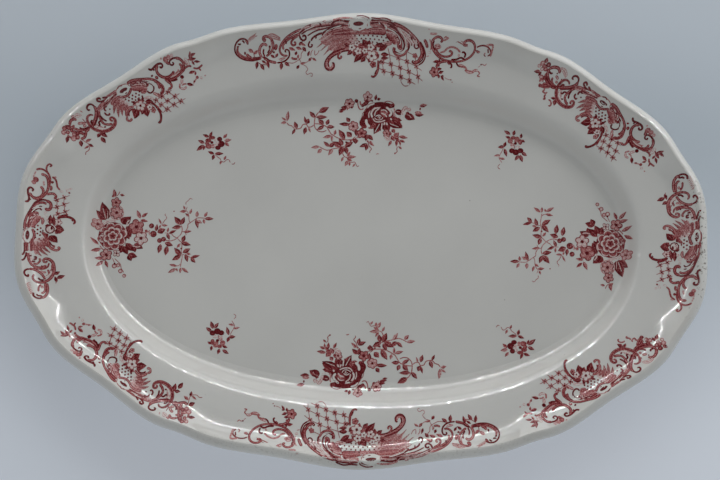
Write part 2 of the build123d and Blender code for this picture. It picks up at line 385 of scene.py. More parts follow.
def draw_large_third_scroll(drawing):
    """The scroll that springs from the shell's long leading bands, with the leafy tendril under it."""
    drawing.ribbons([
        (1.05, (-36.0, 6.4), (-40.0, 7.2), (-44.0, 8.8), (-47.2, 11.2), (-49.2, 14.0), (-49.3, 16.6),
         (-47.6, 18.4), (-45.4, 18.7)),
        (1.1, (-37.0, 8.2), (-41.5, 9.2), (-45.0, 10.8), (-47.3, 12.9), (-47.3, 15.2)),
        (0.9, (-45.3, 10.6), (-45.4, 12.4)),
        (0.8, (-46.0, 16.9), (-46.5, 16.0), (-45.6, 15.3), (-44.4, 16.0), (-44.2, 17.8), (-44.9, 19.6),
         (-46.8, 21.2), (-49.4, 22.0), (-52.0, 22.1)),
        (1.0, (-38.4, 9.0), (-40.9, 10.0), (-42.5, 11.7), (-42.0, 13.2), (-40.6, 13.3), (-40.2, 12.2),
         (-41.0, 11.6)),
        (0.9, (-37.7, 8.6), (-37.0, 10.6), (-35.6, 11.6), (-34.2, 10.9), (-34.3, 9.6), (-35.4, 9.2),
         (-35.9, 10.0)),
        (1.1, (-43.4, 20.0), (-41.9, 20.8), (-39.9, 20.9)),
    ])
    drawing.ribbon([(-46.6, 19.6), (-49.2, 20.3), (-50.8, 20.2)], (0.6, 1.4, 0.4), 0.6)
    drawing.leaves(
        ((-41.0, 18.8), (-39.8, 16.8), 1.5), ((-41.0, 26.4), (-39.1, 24.4), 1.6),
        ((-38.4, 13.8), (-36.0, 12.0), 1.6), ((-36.4, 14.9), (-34.6, 17.7), 1.8),
        ((-33.9, 20.4), (-32.6, 17.4), 1.4), ((-33.7, 23.2), (-31.5, 21.2), 1.5), tone=0.92)
    drawing.leaves(
        ((-44.2, 14.4), (-40.6, 16.3), 1.6), ((-40.2, 14.6), (-36.8, 16.2), 1.6),
        ((-31.4, 21.6), (-29.0, 23.7), 1.2), ((-38.6, 24.0), (-35.2, 23.6), 1.1),
        ((-39.8, 20.6), (-39.0, 18.6), 1.2), ((-37.6, 12.6), (-34.4, 14.6), 1.3), tone=0.68)
    drawing.ribbons([
        (0.35, (-46.0, 22.4), (-43.0, 23.0), (-40.4, 22.2), (-38.0, 20.8), (-37.4, 18.4), (-36.0, 17.0)),
        (0.35, (-39.6, 19.4), (-38.4, 22.4), (-37.4, 24.0), (-34.4, 23.4), (-31.6, 21.4)),
        (0.3, (-38.2, 24.2), (-35.9, 25.2), (-34.4, 27.4), (-35.7, 28.8), (-34.9, 30.3), (-33.0, 29.7),
         (-31.9, 30.4), (-32.2, 31.6), (-33.2, 31.2)),
        (0.4, (-32.2, 20.4), (-31.6, 18.2), (-30.6, 17.2)),
        (0.4, (-29.6, 17.6), (-29.7, 20.2), (-28.2, 19.8), (-27.0, 18.0)),
    ], tone=0.55)


def draw_large_bands(drawing):
    """The sweeping bands that rise over the shell on both sides of its boss."""
    drawing.ribbon([(-38.0, 7.6), (-33.0, 6.2), (-27.0, 5.9), (-20.0, 6.0), (-12.0, 6.2), (-8.0, 6.8)],
                   (0.8, 2.4, 2.8, 2.4, 1.6), 0.55)
    drawing.ribbons([
        (0.75, (-26.2, 6.2), (-25.4, 5.4), (-28.4, 4.8), (-32.6, 5.5), (-37.6, 8.0)),
        (0.6, (-36.6, 8.5), (-31.5, 6.7), (-26.0, 6.3), (-19.5, 6.5), (-13.5, 6.8), (-10.2, 7.4)),
        (0.6, (-33.2, 9.6), (-28.6, 8.0), (-22.6, 7.4), (-16.5, 7.0)),
        (0.9, (-31.3, 12.4), (-30.2, 10.9), (-27.2, 9.7), (-24.6, 9.3)),
        (0.7, (-28.7, 11.7), (-28.2, 10.4)),
        (0.8, (-31.8, 12.3), (-32.9, 13.8), (-32.8, 15.1), (-31.6, 15.6), (-30.8, 14.7), (-31.5, 14.1)),
        (0.9, (-23.0, 9.8), (-23.4, 11.0), (-24.5, 10.6), (-24.4, 9.4), (-21.5, 8.2), (-17.0, 7.5)),
        (1.5, (-22.6, 10.0), (-18.5, 8.6), (-14.0, 7.9), (-10.4, 8.0), (-8.2, 9.2), (-6.6, 9.7)),
        (0.9, (-19.9, 6.3), (-17.6, 4.9), (-14.6, 4.7), (-11.4, 5.4), (-9.0, 5.8)),
        (0.7, (-24.4, 4.0), (-21.6, 4.9), (-19.4, 4.7)),
        (0.6, (-5.8, 2.9), (-2.4, 2.8), (0.6, 3.9), (1.4, 4.9)),
        (0.7, (-5.4, 4.3), (-2.2, 4.2), (0.6, 5.0)),
    ])
    drawing.ribbons([
        (0.9, (-18.8, 4.2), (-14.6, 3.5), (-9.4, 3.9)),
        (0.5, (-9.4, 3.9), (-7.0, 4.6)),
        (1.2, (-24.0, 4.2), (-22.4, 4.5)),
    ], tone=0.45)
    drawing.ribbons([
        (0.4, (-22.8, 8.9), (-18.4, 7.7), (-14.2, 7.1)), (0.35, (-34.5, 7.0), (-29.0, 5.7)),
    ], tone=0.0)
    drawing.ribbon([(1.6, 6.6), (8.0, 6.4), (14.0, 7.0), (18.5, 8.6), (22.6, 12.0), (23.6, 16.0)],
                   (2.6, 3.4, 3.4, 2.6, 2.0), 0.62)
    drawing.ribbon([(17.0, 7.2), (22.4, 9.4), (26.6, 12.4), (28.4, 14.6)], (1.0, 3.6, 4.2, 1.0), 0.4)
    drawing.ribbons([
        (1.5, (14.5, 5.5), (20.0, 6.6), (25.0, 8.8), (29.2, 11.8), (31.6, 15.4), (32.0, 18.8),
         (30.7, 21.2)),
        (0.7, (30.4, 11.4), (33.0, 14.8), (34.2, 18.4), (33.4, 21.8), (31.0, 24.2)),
        (0.7, (31.6, 13.4), (33.2, 17.0), (32.8, 20.6), (31.2, 22.6), (28.6, 24.0), (27.0, 23.2),
         (27.8, 22.2)),
        (1.3, (31.6, 20.2), (30.0, 22.4), (27.8, 23.4)),
        (0.8, (2.2, 5.2), (7.0, 4.8), (12.0, 5.0), (16.0, 6.4)),
        (0.7, (2.0, 6.6), (5.8, 6.0), (8.4, 6.6), (10.4, 8.4)),
        (0.7, (11.0, 5.9), (15.0, 6.9), (18.0, 8.9)),
        (0.6, (12.4, 6.9), (16.0, 7.9), (19.6, 10.6)),
        (0.7, (2.2, 3.9), (6.0, 4.0), (10.0, 3.5), (14.0, 4.6)),
        (0.8, (24.6, 9.6), (26.2, 11.8)),
        (0.7, (27.6, 13.0), (27.3, 14.6), (28.4, 15.5), (29.6, 14.9), (29.5, 13.7), (28.6, 13.4)),
        (1.5, (32.5, 10.0), (33.8, 11.6), (34.9, 14.0)),
        (0.9, (24.0, 13.0), (24.4, 15.6), (23.6, 17.8)),
        (0.6, (25.6, 13.4), (25.8, 14.6)),
    ])
    drawing.ribbons([
        (0.7, (35.4, 9.4), (36.8, 11.8), (36.8, 14.8)),
        (0.6, (36.8, 9.4), (38.0, 11.8)),
        (1.2, (35.4, 16.4), (37.2, 16.0)),
        (0.6, (34.2, 5.4), (34.6, 5.0)),
        (0.9, (35.2, 7.0), (37.4, 6.7), (39.2, 6.5)),
        (0.5, (34.9, 18.8), (36.4, 18.0)),
    ], tone=0.4)


def draw_large_shell(drawing):
    """The shaded shell: feathers to the left, a dotted field, a dark right flank, and the boss above."""
    drawing.ribbon([(-26.0, 13.0), (-18.0, 12.2), (-11.0, 12.4), (-5.0, 13.0)], (4.0, 7.6, 8.4, 6.0),
                   (0.25, 0.42, 0.5, 0.08), sides=(-0.12, 0.0, 0.16))
    drawing.ribbon([(-22.0, 18.0), (-17.0, 16.6), (-11.0, 15.8), (-7.0, 15.6)], (2.4, 5.0, 5.0, 3.0),
                   (0.3, 0.42, 0.45, 0.1), sides=(0.0, 0.0))
    roots = ((-12.0, 9.6), (-11.0, 10.8), (-10.6, 12.2), (-10.4, 13.6), (-10.2, 15.0), (-10.2, 16.4),
             (-10.4, 17.6))
    tips = ((-27.2, 12.6), (-28.4, 16.4), (-26.4, 18.5), (-24.8, 21.2), (-23.4, 20.0), (-20.4, 21.0),
            (-16.4, 20.0))
    drawing.fan(roots, tips, 1.7, 0.62, bend=0.1)
    drawing.ribbon([(-20.0, 10.2), (-12.0, 9.8), (-4.0, 10.6), (4.0, 10.0), (11.0, 9.8)],
                   (1.4, 3.2, 2.0, 3.0, 3.2), (0.5, 0.6, 0.35, 0.5, 0.6), sides=(-0.4, 0.0, 0.3))
    drawing.ribbon([(-23.0, 10.4), (-16.0, 9.0), (-9.0, 9.2), (-4.6, 10.4), (0.0, 9.6), (6.0, 8.4),
                    (12.0, 8.6), (16.0, 10.0)], (0.9, 1.3, 1.2, 0.8, 0.9, 1.3, 1.6, 1.8), 0.9)
    drawing.ribbon([(11.0, 10.6), (14.4, 12.0), (16.0, 14.0), (15.8, 15.6)], (2.6, 4.4, 4.6, 2.2), 0.62,
                   sides=(-0.45, 0.0, 0.3))
    drawing.ribbon([(5.0, 17.4), (9.0, 16.6), (12.6, 15.4), (14.8, 14.6)], (1.0, 1.8, 2.2, 1.6), (0.45, 0.7))
    drawing.ribbon([(15.4, 10.2), (18.2, 12.4), (19.0, 15.2), (18.6, 17.6)], (1.8, 2.4, 2.8, 2.0), 0.98)
    for row, first, count in ((10.9, 1.6, 4), (12.2, -9.0, 9), (13.9, -10.4, 10), (15.6, -9.0, 9)):
        for step in range(count):
            x = first + step * 2.5
            drawing.disc((x, row + 0.0035 * (x + 1.0) ** 2), 0.5, 0.95, sides=8)
    drawing.ribbons([
        (0.8, (16.6, 17.2), (16.3, 18.8), (17.4, 19.6), (19.6, 19.4), (21.2, 17.6), (21.6, 14.8),
         (20.4, 12.0), (18.0, 9.8), (14.6, 8.6)),
        (1.1, (15.8, 17.0), (15.7, 19.0), (17.0, 20.9), (19.6, 21.2), (22.2, 19.8), (23.6, 17.2)),
        (1.2, (18.2, 16.6), (19.6, 17.4), (20.4, 16.0)),
    ])
    drawing.ribbons([
        (0.45, (11.4, 8.0), (15.6, 9.2), (18.4, 11.4), (19.4, 14.2), (18.6, 15.2)),
        (0.45, (18.6, 7.9), (21.2, 10.6), (22.6, 14.0), (22.0, 17.4), (19.6, 19.4), (17.4, 18.9)),
        (0.7, (9.8, 7.0), (10.9, 7.6), (10.6, 8.7)),
        (0.4, (6.6, 5.8), (7.4, 6.8)),
    ], tone=0.0)
    drawing.disc((-4.7, 6.9), (5.6, 3.1), 0.0, sides=20)
    drawing.ring((-4.7, 7.1), (5.2, 2.9), 0.4, 0.6, start=-10.0, end=190.0)
    drawing.disc((-4.7, 6.7), (2.9, 1.0), 1.0, sides=16)
    drawing.ribbons([(0.5, (-4.6, 9.0), (-3.0, 8.8)), (0.5, (-1.2, 8.1), (-0.2, 7.9))], tone=0.85)


def draw_large_flowers(drawing):
    """The volute under the shell, the flower group, and the lattice that hangs from it."""
    drawing.ribbon([(-9.6, 19.4), (-14.0, 19.6), (-18.4, 21.0), (-21.6, 23.2), (-23.4, 26.0), (-22.8, 28.4),
                    (-20.8, 29.3), (-19.3, 28.2), (-19.2, 26.4)],
                   (0.9, 1.7, 2.2, 2.2, 2.0, 2.0, 2.0, 2.0, 1.4), 0.7)
    drawing.ribbons([
        (0.8, (-8.6, 20.3), (-13.0, 20.4), (-17.6, 21.8), (-20.8, 23.6), (-22.2, 26.0), (-21.7, 28.0)),
        (0.7, (-12.0, 18.8), (-17.6, 20.0), (-21.8, 22.2), (-24.0, 25.0), (-24.1, 27.6), (-22.6, 29.4),
         (-20.4, 29.7), (-18.7, 28.4), (-18.8, 26.4), (-20.0, 25.9)),
        (1.0, (-21.0, 22.8), (-21.6, 25.0)),
        (1.0, (-14.4, 20.6), (-15.8, 21.6), (-16.3, 23.2), (-15.3, 24.2), (-14.3, 23.5), (-14.8, 22.6)),
    ])
    drawing.ribbon([(-12.0, 18.0), (-6.0, 17.8), (-2.0, 18.4), (2.0, 18.6), (6.0, 18.6)],
                   (1.2, 2.6, 3.4, 3.0, 2.0), 0.85)
    drawing.ribbon([(-9.0, 21.0), (-5.0, 21.4), (0.0, 22.0), (4.0, 22.4), (7.0, 21.8)],
                   (1.4, 2.6, 3.6, 3.6, 2.6), 0.85)
    drawing.leaves(
        ((-1.6, 21.0), (-7.0, 27.0), 3.6), ((-0.4, 24.0), (-3.0, 27.0), 2.4),
        ((2.6, 23.6), (1.6, 27.2), 2.4), ((5.6, 25.0), (7.6, 22.0), 1.8),
        ((-8.0, 20.4), (-11.0, 22.6), 2.2), ((-6.6, 21.0), (-6.9, 23.8), 1.8),
        ((0.6, 18.4), (-2.2, 14.2), 3.2), ((1.2, 18.6), (1.8, 14.6), 2.4), ((5.0, 17.4), (10.6, 16.6), 2.4),
        ((7.2, 20.2), (12.4, 16.4), 2.4), ((8.4, 22.1), (13.4, 21.6), 2.2),
        ((8.6, 24.2), (13.2, 23.5), 1.8),
        ((-9.4, 17.6), (-12.8, 16.2), 1.8), ((3.0, 18.0), (6.2, 20.2), 2.0), tone=0.98)
    for centre, radius, facing in (((-8.2, 18.6), 2.3, 10.0), ((-4.6, 20.8), 2.3, 40.0),
                                   ((3.2, 23.4), 3.3, 18.0), ((2.6, 18.6), 2.3, 0.0),
                                   ((-5.4, 16.4), 1.8, 0.0), ((-0.8, 20.6), 1.9, 30.0)):
        drawing.flower(centre, radius, 0.02, 0.62, facing=facing)
    drawing.flower((4.2, 28.0), 1.9, 0.55, 0.7, facing=30.0)
    drawing.ribbon([(7.0, 25.4), (7.3, 28.6), (6.9, 31.6), (5.9, 33.7), (4.5, 34.7), (3.2, 34.2)],
                   (0.8, 1.2, 1.3, 1.1, 0.9, 1.0), 0.75, sides=(0.25, -0.1, 0.2))
    drawing.ribbons([(0.5, (5.3, 33.4), (6.3, 30.9)), (0.9, (8.1, 25.6), (8.4, 27.2))])
    drawing.trellis(
        rows=[
            ((18.8, 22.6), (24.0, 23.7), (29.8, 25.2)),
            ((9.5, 26.2), (14.6, 26.7), (20.3, 27.7), (25.7, 28.9), (31.5, 30.5)),
            ((10.6, 31.0), (16.0, 31.5), (21.2, 32.5), (26.6, 33.6)),
        ],
        columns=[
            ((9.2, 24.6), (9.5, 26.2), (10.6, 31.0), (11.1, 33.5)),
            ((12.4, 18.0), (13.6, 22.0), (14.6, 26.7), (16.0, 31.5), (15.9, 34.0)),
            ((18.4, 20.6), (18.8, 22.6), (20.3, 27.7), (21.2, 32.5), (21.6, 35.0), (23.8, 36.5),
             (26.4, 35.9)),
            ((22.9, 17.0), (24.0, 23.7), (25.7, 28.9), (26.6, 33.6), (26.8, 35.6)),
            ((28.3, 19.6), (29.8, 25.2), (31.5, 30.5), (32.1, 34.0)),
        ])
    drawing.flower((28.3, 19.6), 1.5, 0.5, 0.6)
    drawing.ribbons([
        (0.32, (13.0, 21.6), (18.8, 22.6)),
        (0.32, (29.8, 25.2), (33.4, 27.0)),
        (0.32, (31.5, 30.5), (34.6, 32.4)),
        (0.32, (7.6, 29.6), (10.6, 31.0)),
        (0.32, (26.6, 33.6), (30.4, 34.6)),
        (0.32, (23.2, 18.2), (28.3, 19.6), (30.6, 20.6)),
    ], tone=0.6)


def draw_large_right_scroll(drawing):
    """The trailing end: a wide C-scroll, a small one beyond it, a flower and a ribbon."""
    drawing.ribbons([
        (1.1, (41.6, 9.9), (42.6, 9.0), (41.4, 7.8), (39.4, 7.8), (37.4, 9.4), (37.0, 11.8), (38.2, 14.4),
         (40.6, 16.8), (43.6, 18.4), (45.0, 18.4)),
        (0.6, (38.2, 9.6), (37.9, 12.0), (39.4, 14.6)),
        (1.1, (44.6, 18.8), (49.0, 19.2), (53.4, 18.7), (57.2, 17.2), (60.0, 14.6), (61.2, 11.6), (60.6, 9.0),
         (58.8, 7.5), (56.6, 7.3), (54.8, 8.2), (54.6, 9.4), (55.8, 9.8), (56.7, 9.1)),
        (1.1, (39.2, 12.6), (40.8, 15.2), (43.4, 16.8), (46.4, 16.9), (48.6, 15.9), (49.0, 14.4),
         (47.8, 13.6), (47.3, 14.3)),
        (0.9, (49.2, 18.2), (52.2, 17.6), (54.6, 16.4), (57.0, 17.3)),
        (0.9, (54.4, 13.7), (55.4, 13.2), (56.6, 14.2), (56.4, 16.2)),
        (1.4, (47.0, 19.3), (44.2, 20.0), (42.1, 21.6), (41.5, 23.8)),
        (1.0, (42.4, 21.2), (43.0, 23.0)),
        (1.1, (47.2, 19.5), (49.0, 21.0)),
        (0.9, (47.4, 19.4), (49.6, 20.6), (50.2, 22.2), (49.4, 22.7)),
        (0.9, (43.0, 20.6), (42.4, 18.7)),
        (0.8, (52.4, 19.4), (53.6, 20.8), (55.2, 21.5)),
    ])
    drawing.ribbon([(38.6, 12.0), (40.6, 12.2), (42.6, 12.4)], (1.4, 2.6, 1.0), 0.6)
    drawing.leaf((40.4, 13.8), (42.0, 11.4), 1.6, 0.6)
    drawing.ribbons([
        (0.9, (42.4, 15.2), (44.6, 14.2), (46.0, 12.4), (48.6, 11.4), (51.4, 12.0), (53.6, 13.6)),
        (1.0, (52.8, 14.6), (53.4, 16.2)),
        (0.8, (43.2, 9.0), (45.6, 7.6)), (0.6, (44.0, 7.2), (46.0, 7.6)), (0.5, (43.0, 8.0), (44.4, 6.8)),
    ], tone=0.5)
    drawing.hatch((50.4, 8.6), (55.4, 10.2), (1.9, 0.2), 9, tone=0.6)
    drawing.hatch((52.6, 8.0), (54.4, 8.4), (1.8, 1.2), 4, tone=0.6)
    drawing.ribbons([
        (0.7, (62.0, 9.9), (63.4, 9.0), (65.6, 8.5), (68.0, 8.9), (69.8, 10.2), (70.2, 12.0), (69.0, 13.3)),
        (0.8, (61.8, 11.6), (63.6, 11.6)), (1.1, (62.4, 12.2), (64.4, 11.9)),
        (0.5, (66.6, 12.8), (68.0, 13.8)), (0.7, (68.2, 9.6), (69.0, 11.8)),
        (0.9, (66.2, 18.6), (67.2, 18.4)),
    ], tone=0.85)
    drawing.ribbons([(0.9, (66.6, 8.4), (69.2, 7.6), (70.6, 8.2), (70.6, 13.2)),
                     (0.6, (67.4, 11.8), (66.8, 12.8)), (0.5, (67.2, 18.0), (68.8, 18.6), (69.6, 17.4)),
                     (0.4, (65.4, 20.2), (66.4, 19.2))], tone=0.45)
    drawing.leaves(((42.6, 19.9), (39.0, 21.0), 1.6), ((43.2, 26.6), (46.2, 25.0), 1.6),
                   ((43.4, 27.2), (44.0, 29.4), 1.4), ((44.8, 27.6), (47.2, 30.2), 1.3),
                   ((42.0, 24.6), (44.8, 23.8), 1.6),
                   ((45.0, 28.0), (46.8, 27.6), 1.1), tone=0.9)
    drawing.flower((40.7, 26.3), 2.9, 0.45, 0.8, facing=25.0)
    drawing.ribbons([(0.3, (47.2, 28.4), (49.4, 29.2), (51.2, 29.2))], tone=0.45)
    drawing.disc((51.2, 29.2), 0.4, 0.8, sides=7)
    drawing.disc((52.2, 30.4), 0.35, 0.6, sides=7)
    drawing.ribbons([
        (1.2, (54.0, 20.4), (56.4, 20.8), (58.2, 21.6)),
        (0.9, (55.2, 21.5), (57.8, 21.2), (59.4, 22.8)),
        (1.3, (58.4, 22.8), (60.8, 23.8), (62.6, 23.4), (64.0, 22.2), (65.8, 22.2)),
        (0.7, (58.0, 23.0), (61.0, 23.0), (63.4, 23.2)),
        (0.6, (65.6, 22.2), (67.0, 23.4), (66.2, 25.0), (67.8, 25.2)),
    ], tone=0.6)


def draw_large_border(drawing):
    """The widest print, for the lobe in the middle of each long side."""
    draw_large_left_scrolls(drawing)
    draw_large_third_scroll(drawing)
    draw_large_bands(drawing)
    draw_large_shell(drawing)
    draw_large_flowers(drawing)
    draw_large_right_scroll(drawing)


# ---- the medium border print ---------------------------------------------------------------------------
def draw_medium_left_scroll(drawing):
    """The big scroll at the leading end, with the arm that winds up over it."""
    drawing.ribbon([(-24.3, 10.7), (-25.3, 9.6), (-27.2, 9.6), (-28.8, 11.2), (-29.6, 14.0), (-29.4, 16.8),
                    (-28.2, 19.2), (-26.2, 21.1), (-23.4, 22.0), (-20.2, 21.7), (-17.7, 20.3), (-16.6, 18.4),
                    (-17.1, 16.8), (-18.3, 16.8), (-18.8, 18.0), (-18.0, 18.8)],
                   (0.8, 1.0, 1.4, 1.8, 1.9, 1.7, 1.4, 1.0, 1.2), 0.97)
    drawing.ribbons([
        (1.4, (-29.4, 15.2), (-26.4, 13.6), (-23.4, 11.6), (-21.2, 9.2), (-20.6, 7.2)),
        (0.85, (-20.6, 7.6), (-21.2, 6.0), (-22.7, 5.5), (-24.2, 6.2), (-24.5, 7.3), (-23.5, 7.6)),
        (0.7, (-20.8, 9.8), (-23.0, 12.4), (-26.0, 14.4), (-28.0, 15.4)),
        (0.9, (-26.4, 12.4), (-27.6, 12.6), (-28.3, 14.4)),
        (1.2, (-20.2, 10.0), (-21.8, 12.4), (-23.0, 15.2), (-23.1, 17.6), (-21.8, 19.2), (-19.8, 20.2)),
        (0.9, (-21.6, 12.4), (-21.7, 15.0), (-20.9, 17.2)),
        (0.9, (-27.6, 16.6), (-25.6, 16.9), (-24.8, 15.4), (-23.4, 15.0)),
        (0.8, (-24.8, 19.6), (-23.4, 19.2)),
        (1.4, (-22.6, 18.2), (-21.4, 19.4), (-19.4, 20.0)),
    ])
    drawing.ribbons([(1.2, (-28.2, 17.6), (-26.2, 17.8), (-25.5, 19.6)),
                     (1.0, (-27.4, 16.2), (-26.0, 15.4))], tone=0.6)
    drawing.ribbon([(-27.4, 15.6), (-26.6, 18.6), (-24.0, 20.6)], (1.0, 1.6, 0.8), 0.35)


def draw_medium_leafy_end(drawing):
    """One leading end: leaves and blossom, with the short scrolls that join them to the big one."""
    drawing.ribbons([
        (1.2, (-39.6, 5.6), (-37.8, 7.2), (-36.8, 9.4), (-35.6, 11.8), (-33.6, 13.6), (-30.4, 14.8)),
        (1.0, (-37.0, 10.2), (-36.6, 8.6), (-35.4, 8.5)),
        (1.2, (-37.2, 7.0), (-35.2, 6.0), (-33.4, 6.4), (-32.6, 7.6)),
        (0.9, (-34.4, 10.9), (-34.2, 12.2), (-32.8, 13.4), (-30.4, 14.0)),
        (1.5, (-38.4, 9.8), (-37.6, 11.8), (-36.0, 13.6), (-35.6, 15.6)),
        (1.4, (-39.0, 15.4), (-37.0, 16.4), (-35.2, 15.8), (-33.4, 14.8), (-31.4, 15.2)),
        (1.0, (-42.1, 8.9), (-41.9, 11.2)),
    ])
    drawing.ribbons([
        (1.3, (-33.7, 9.2), (-31.8, 10.2), (-30.5, 11.8)),
        (1.3, (-32.8, 12.2), (-30.8, 12.1)),
        (1.0, (-33.6, 5.0), (-31.6, 5.9)),
        (0.4, (-30.0, 8.8), (-30.0, 11.8)),
    ], tone=0.75)
    drawing.ribbon([(-32.4, 5.8), (-30.4, 6.4), (-28.8, 7.4)], (1.2, 2.0, 0.6), 0.42)
    drawing.ribbon([(-28.0, 5.4), (-27.4, 6.8)], 0.5, 0.35)
    for centre, radius, tone in (((-42.3, 6.8), 1.2, 0.5), ((-40.3, 6.0), 1.2, 0.75),
                                 ((-38.6, 7.2), 1.2, 0.85), ((-40.7, 8.3), 1.1, 0.75),
                                 ((-41.2, 12.3), 1.6, 0.5), ((-39.3, 11.2), 1.2, 0.6),
                                 ((-39.3, 13.4), 1.4, 0.7), ((-37.7, 12.2), 1.2, 0.9),
                                 ((-38.6, 9.2), 1.0, 0.85)):
        drawing.disc(centre, radius, tone - 0.35, tone + 0.15)
    drawing.disc((-37.7, 14.3), 0.9, 0.05)
    drawing.disc((-40.4, 9.8), 0.7, 0.1)
    drawing.leaves(((-42.2, 9.4), (-45.7, 10.8), 1.7), ((-39.6, 15.6), (-42.3, 18.3), 2.2),
                   ((-38.6, 20.4), (-37.8, 23.6), 1.6), tone=0.95)
    drawing.leaves(((-38.4, 18.4), (-34.8, 19.9), 1.5), ((-39.0, 21.2), (-42.4, 20.0), 1.1), tone=0.7)
    drawing.leaves(((-28.8, 20.6), (-32.0, 21.6), 1.9), ((-28.4, 20.2), (-27.4, 24.9), 2.4),
                   ((-30.2, 22.6), (-31.0, 26.8), 2.4), tone=0.98)
    drawing.ribbons([(0.4, (-38.9, 15.8), (-38.6, 18.4), (-38.2, 21.0)),
                     (0.4, (-38.6, 21.4), (-41.2, 22.5), (-43.4, 21.9), (-45.0, 22.6))], tone=0.55)


def draw_medium_shell(drawing):
    """The shell of a medium print: bands and feathers to the left, a dark right flank, and the boss."""
    drawing.ribbon([(-20.6, 10.4), (-16.0, 8.9), (-11.0, 7.6), (-6.4, 7.0)], (1.0, 2.6, 2.8, 1.6), 0.6)
    drawing.ribbon([(-13.0, 10.4), (-9.0, 11.0), (-5.0, 12.6)], (1.6, 4.6, 5.0), (0.4, 0.5, 0.12),
                   sides=(-0.1, 0.1))
    drawing.ribbon([(-12.0, 14.0), (-8.6, 14.2), (-4.4, 15.6)], (1.0, 4.6, 4.0), (0.3, 0.45, 0.1),
                   sides=(-0.1, 0.1))
    roots = ((-7.4, 10.6), (-7.2, 12.0), (-6.6, 13.4), (-5.6, 15.0))
    tips = ((-15.0, 15.6), (-14.1, 18.8), (-11.7, 18.9), (-9.0, 18.0))
    drawing.fan(roots, tips, 1.9, 0.72, bend=0.1)
    drawing.ribbons([
        (1.0, (-21.0, 9.6), (-17.6, 8.4), (-13.4, 7.6), (-9.6, 6.7), (-6.2, 6.4)),
        (0.7, (-17.0, 9.6), (-12.4, 8.6), (-7.0, 7.6)),
        (1.3, (-12.8, 10.9), (-10.4, 9.8), (-7.6, 9.4), (-5.6, 9.8)),
        (0.9, (-16.6, 7.0), (-17.6, 6.2), (-16.9, 5.3), (-15.8, 5.6), (-15.8, 6.4)),
        (0.9, (-17.4, 6.6), (-15.8, 7.3), (-14.2, 7.4)),
        (0.8, (-14.6, 6.0), (-13.0, 6.6), (-12.0, 7.0)),
        (0.9, (-15.2, 10.2), (-16.9, 10.3), (-17.5, 11.5), (-17.2, 12.4)),
        (0.9, (-18.6, 12.4), (-18.5, 14.2), (-17.2, 14.8), (-16.6, 13.9)),
        (0.8, (-15.5, 12.6), (-14.6, 12.1)),
    ], tone=0.9)
    drawing.ribbon([(1.0, 9.2), (4.4, 9.8), (7.0, 11.6), (8.4, 14.0)], (2.4, 4.0, 4.6, 3.4), 0.5,
                   sides=(-0.4, 0.0, 0.3))
    drawing.ribbon([(1.4, 7.8), (5.0, 8.2), (8.4, 10.0), (10.4, 12.6)], (1.6, 2.4, 2.8, 2.6), 0.98)
    drawing.ribbon([(4.6, 13.4), (6.4, 14.0), (8.0, 14.4)], (1.0, 1.8, 1.4), 0.8)
    drawing.ribbons([
        (1.2, (0.6, 6.2), (4.0, 6.4), (8.0, 8.0), (11.8, 9.8), (14.6, 12.0), (16.4, 15.0), (17.6, 18.2)),
        (0.8, (4.6, 8.4), (9.4, 10.0), (12.0, 12.6), (12.6, 14.6), (11.6, 16.2), (9.6, 16.6), (8.4, 15.6),
         (8.4, 14.4)),
        (1.4, (14.3, 12.2), (15.5, 13.8), (15.6, 16.2), (14.8, 17.4)),
        (1.8, (16.2, 15.6), (17.0, 17.6), (16.2, 19.6), (14.0, 20.4)),
        (1.4, (15.8, 10.8), (17.1, 12.5)),
        (0.9, (13.9, 9.8), (15.2, 9.5)),
        (1.2, (-6.3, 9.9), (-4.2, 10.7), (-2.2, 10.8), (-0.4, 10.1), (1.4, 8.8)),
        (1.0, (12.6, 19.0), (13.2, 20.6), (15.0, 21.2)),
    ], tone=0.97)
    drawing.ribbons([(0.45, (8.6, 9.0), (11.6, 10.6), (13.4, 12.8)),
                     (0.4, (10.2, 10.8), (12.3, 12.4), (13.0, 14.6)), (0.35, (-12.6, 7.9), (-8.8, 7.2)),
                     (0.35, (-15.0, 8.1), (-11.0, 7.1))], tone=0.0)
    drawing.ribbon([(4.6, 16.6), (6.8, 18.4), (9.4, 19.6)], (0.8, 2.4, 1.0), 0.42)
    drawing.ribbon([(10.6, 17.2), (11.8, 19.0), (12.6, 21.4)], (1.2, 1.4, 0.6), 0.65)
    drawing.disc((15.4, 17.9), 0.45, 0.05)
    drawing.disc((13.9, 18.5), 0.5, 0.05)
    drawing.disc((-3.0, 7.6), (4.1, 2.1), 0.0, sides=18)
    drawing.ring((-3.0, 7.6), (4.1, 2.1), 0.35, 0.5, start=-190.0, end=10.0)
    drawing.disc((-2.9, 7.9), (2.4, 0.9), 1.0, sides=14)
    drawing.ribbons([
        (0.5, (-5.4, 6.0), (-3.6, 5.4), (-2.2, 5.9)), (0.5, (-3.2, 9.6), (-1.8, 9.5)),
    ], tone=0.85)
    for row, first, count in ((12.0, -4.6, 5), (13.5, -3.6, 4), (15.0, -2.4, 4)):
        for step in range(count):
            drawing.disc((first + 2.2 * step, row + 0.12 * step), 0.55, 0.9, sides=8)


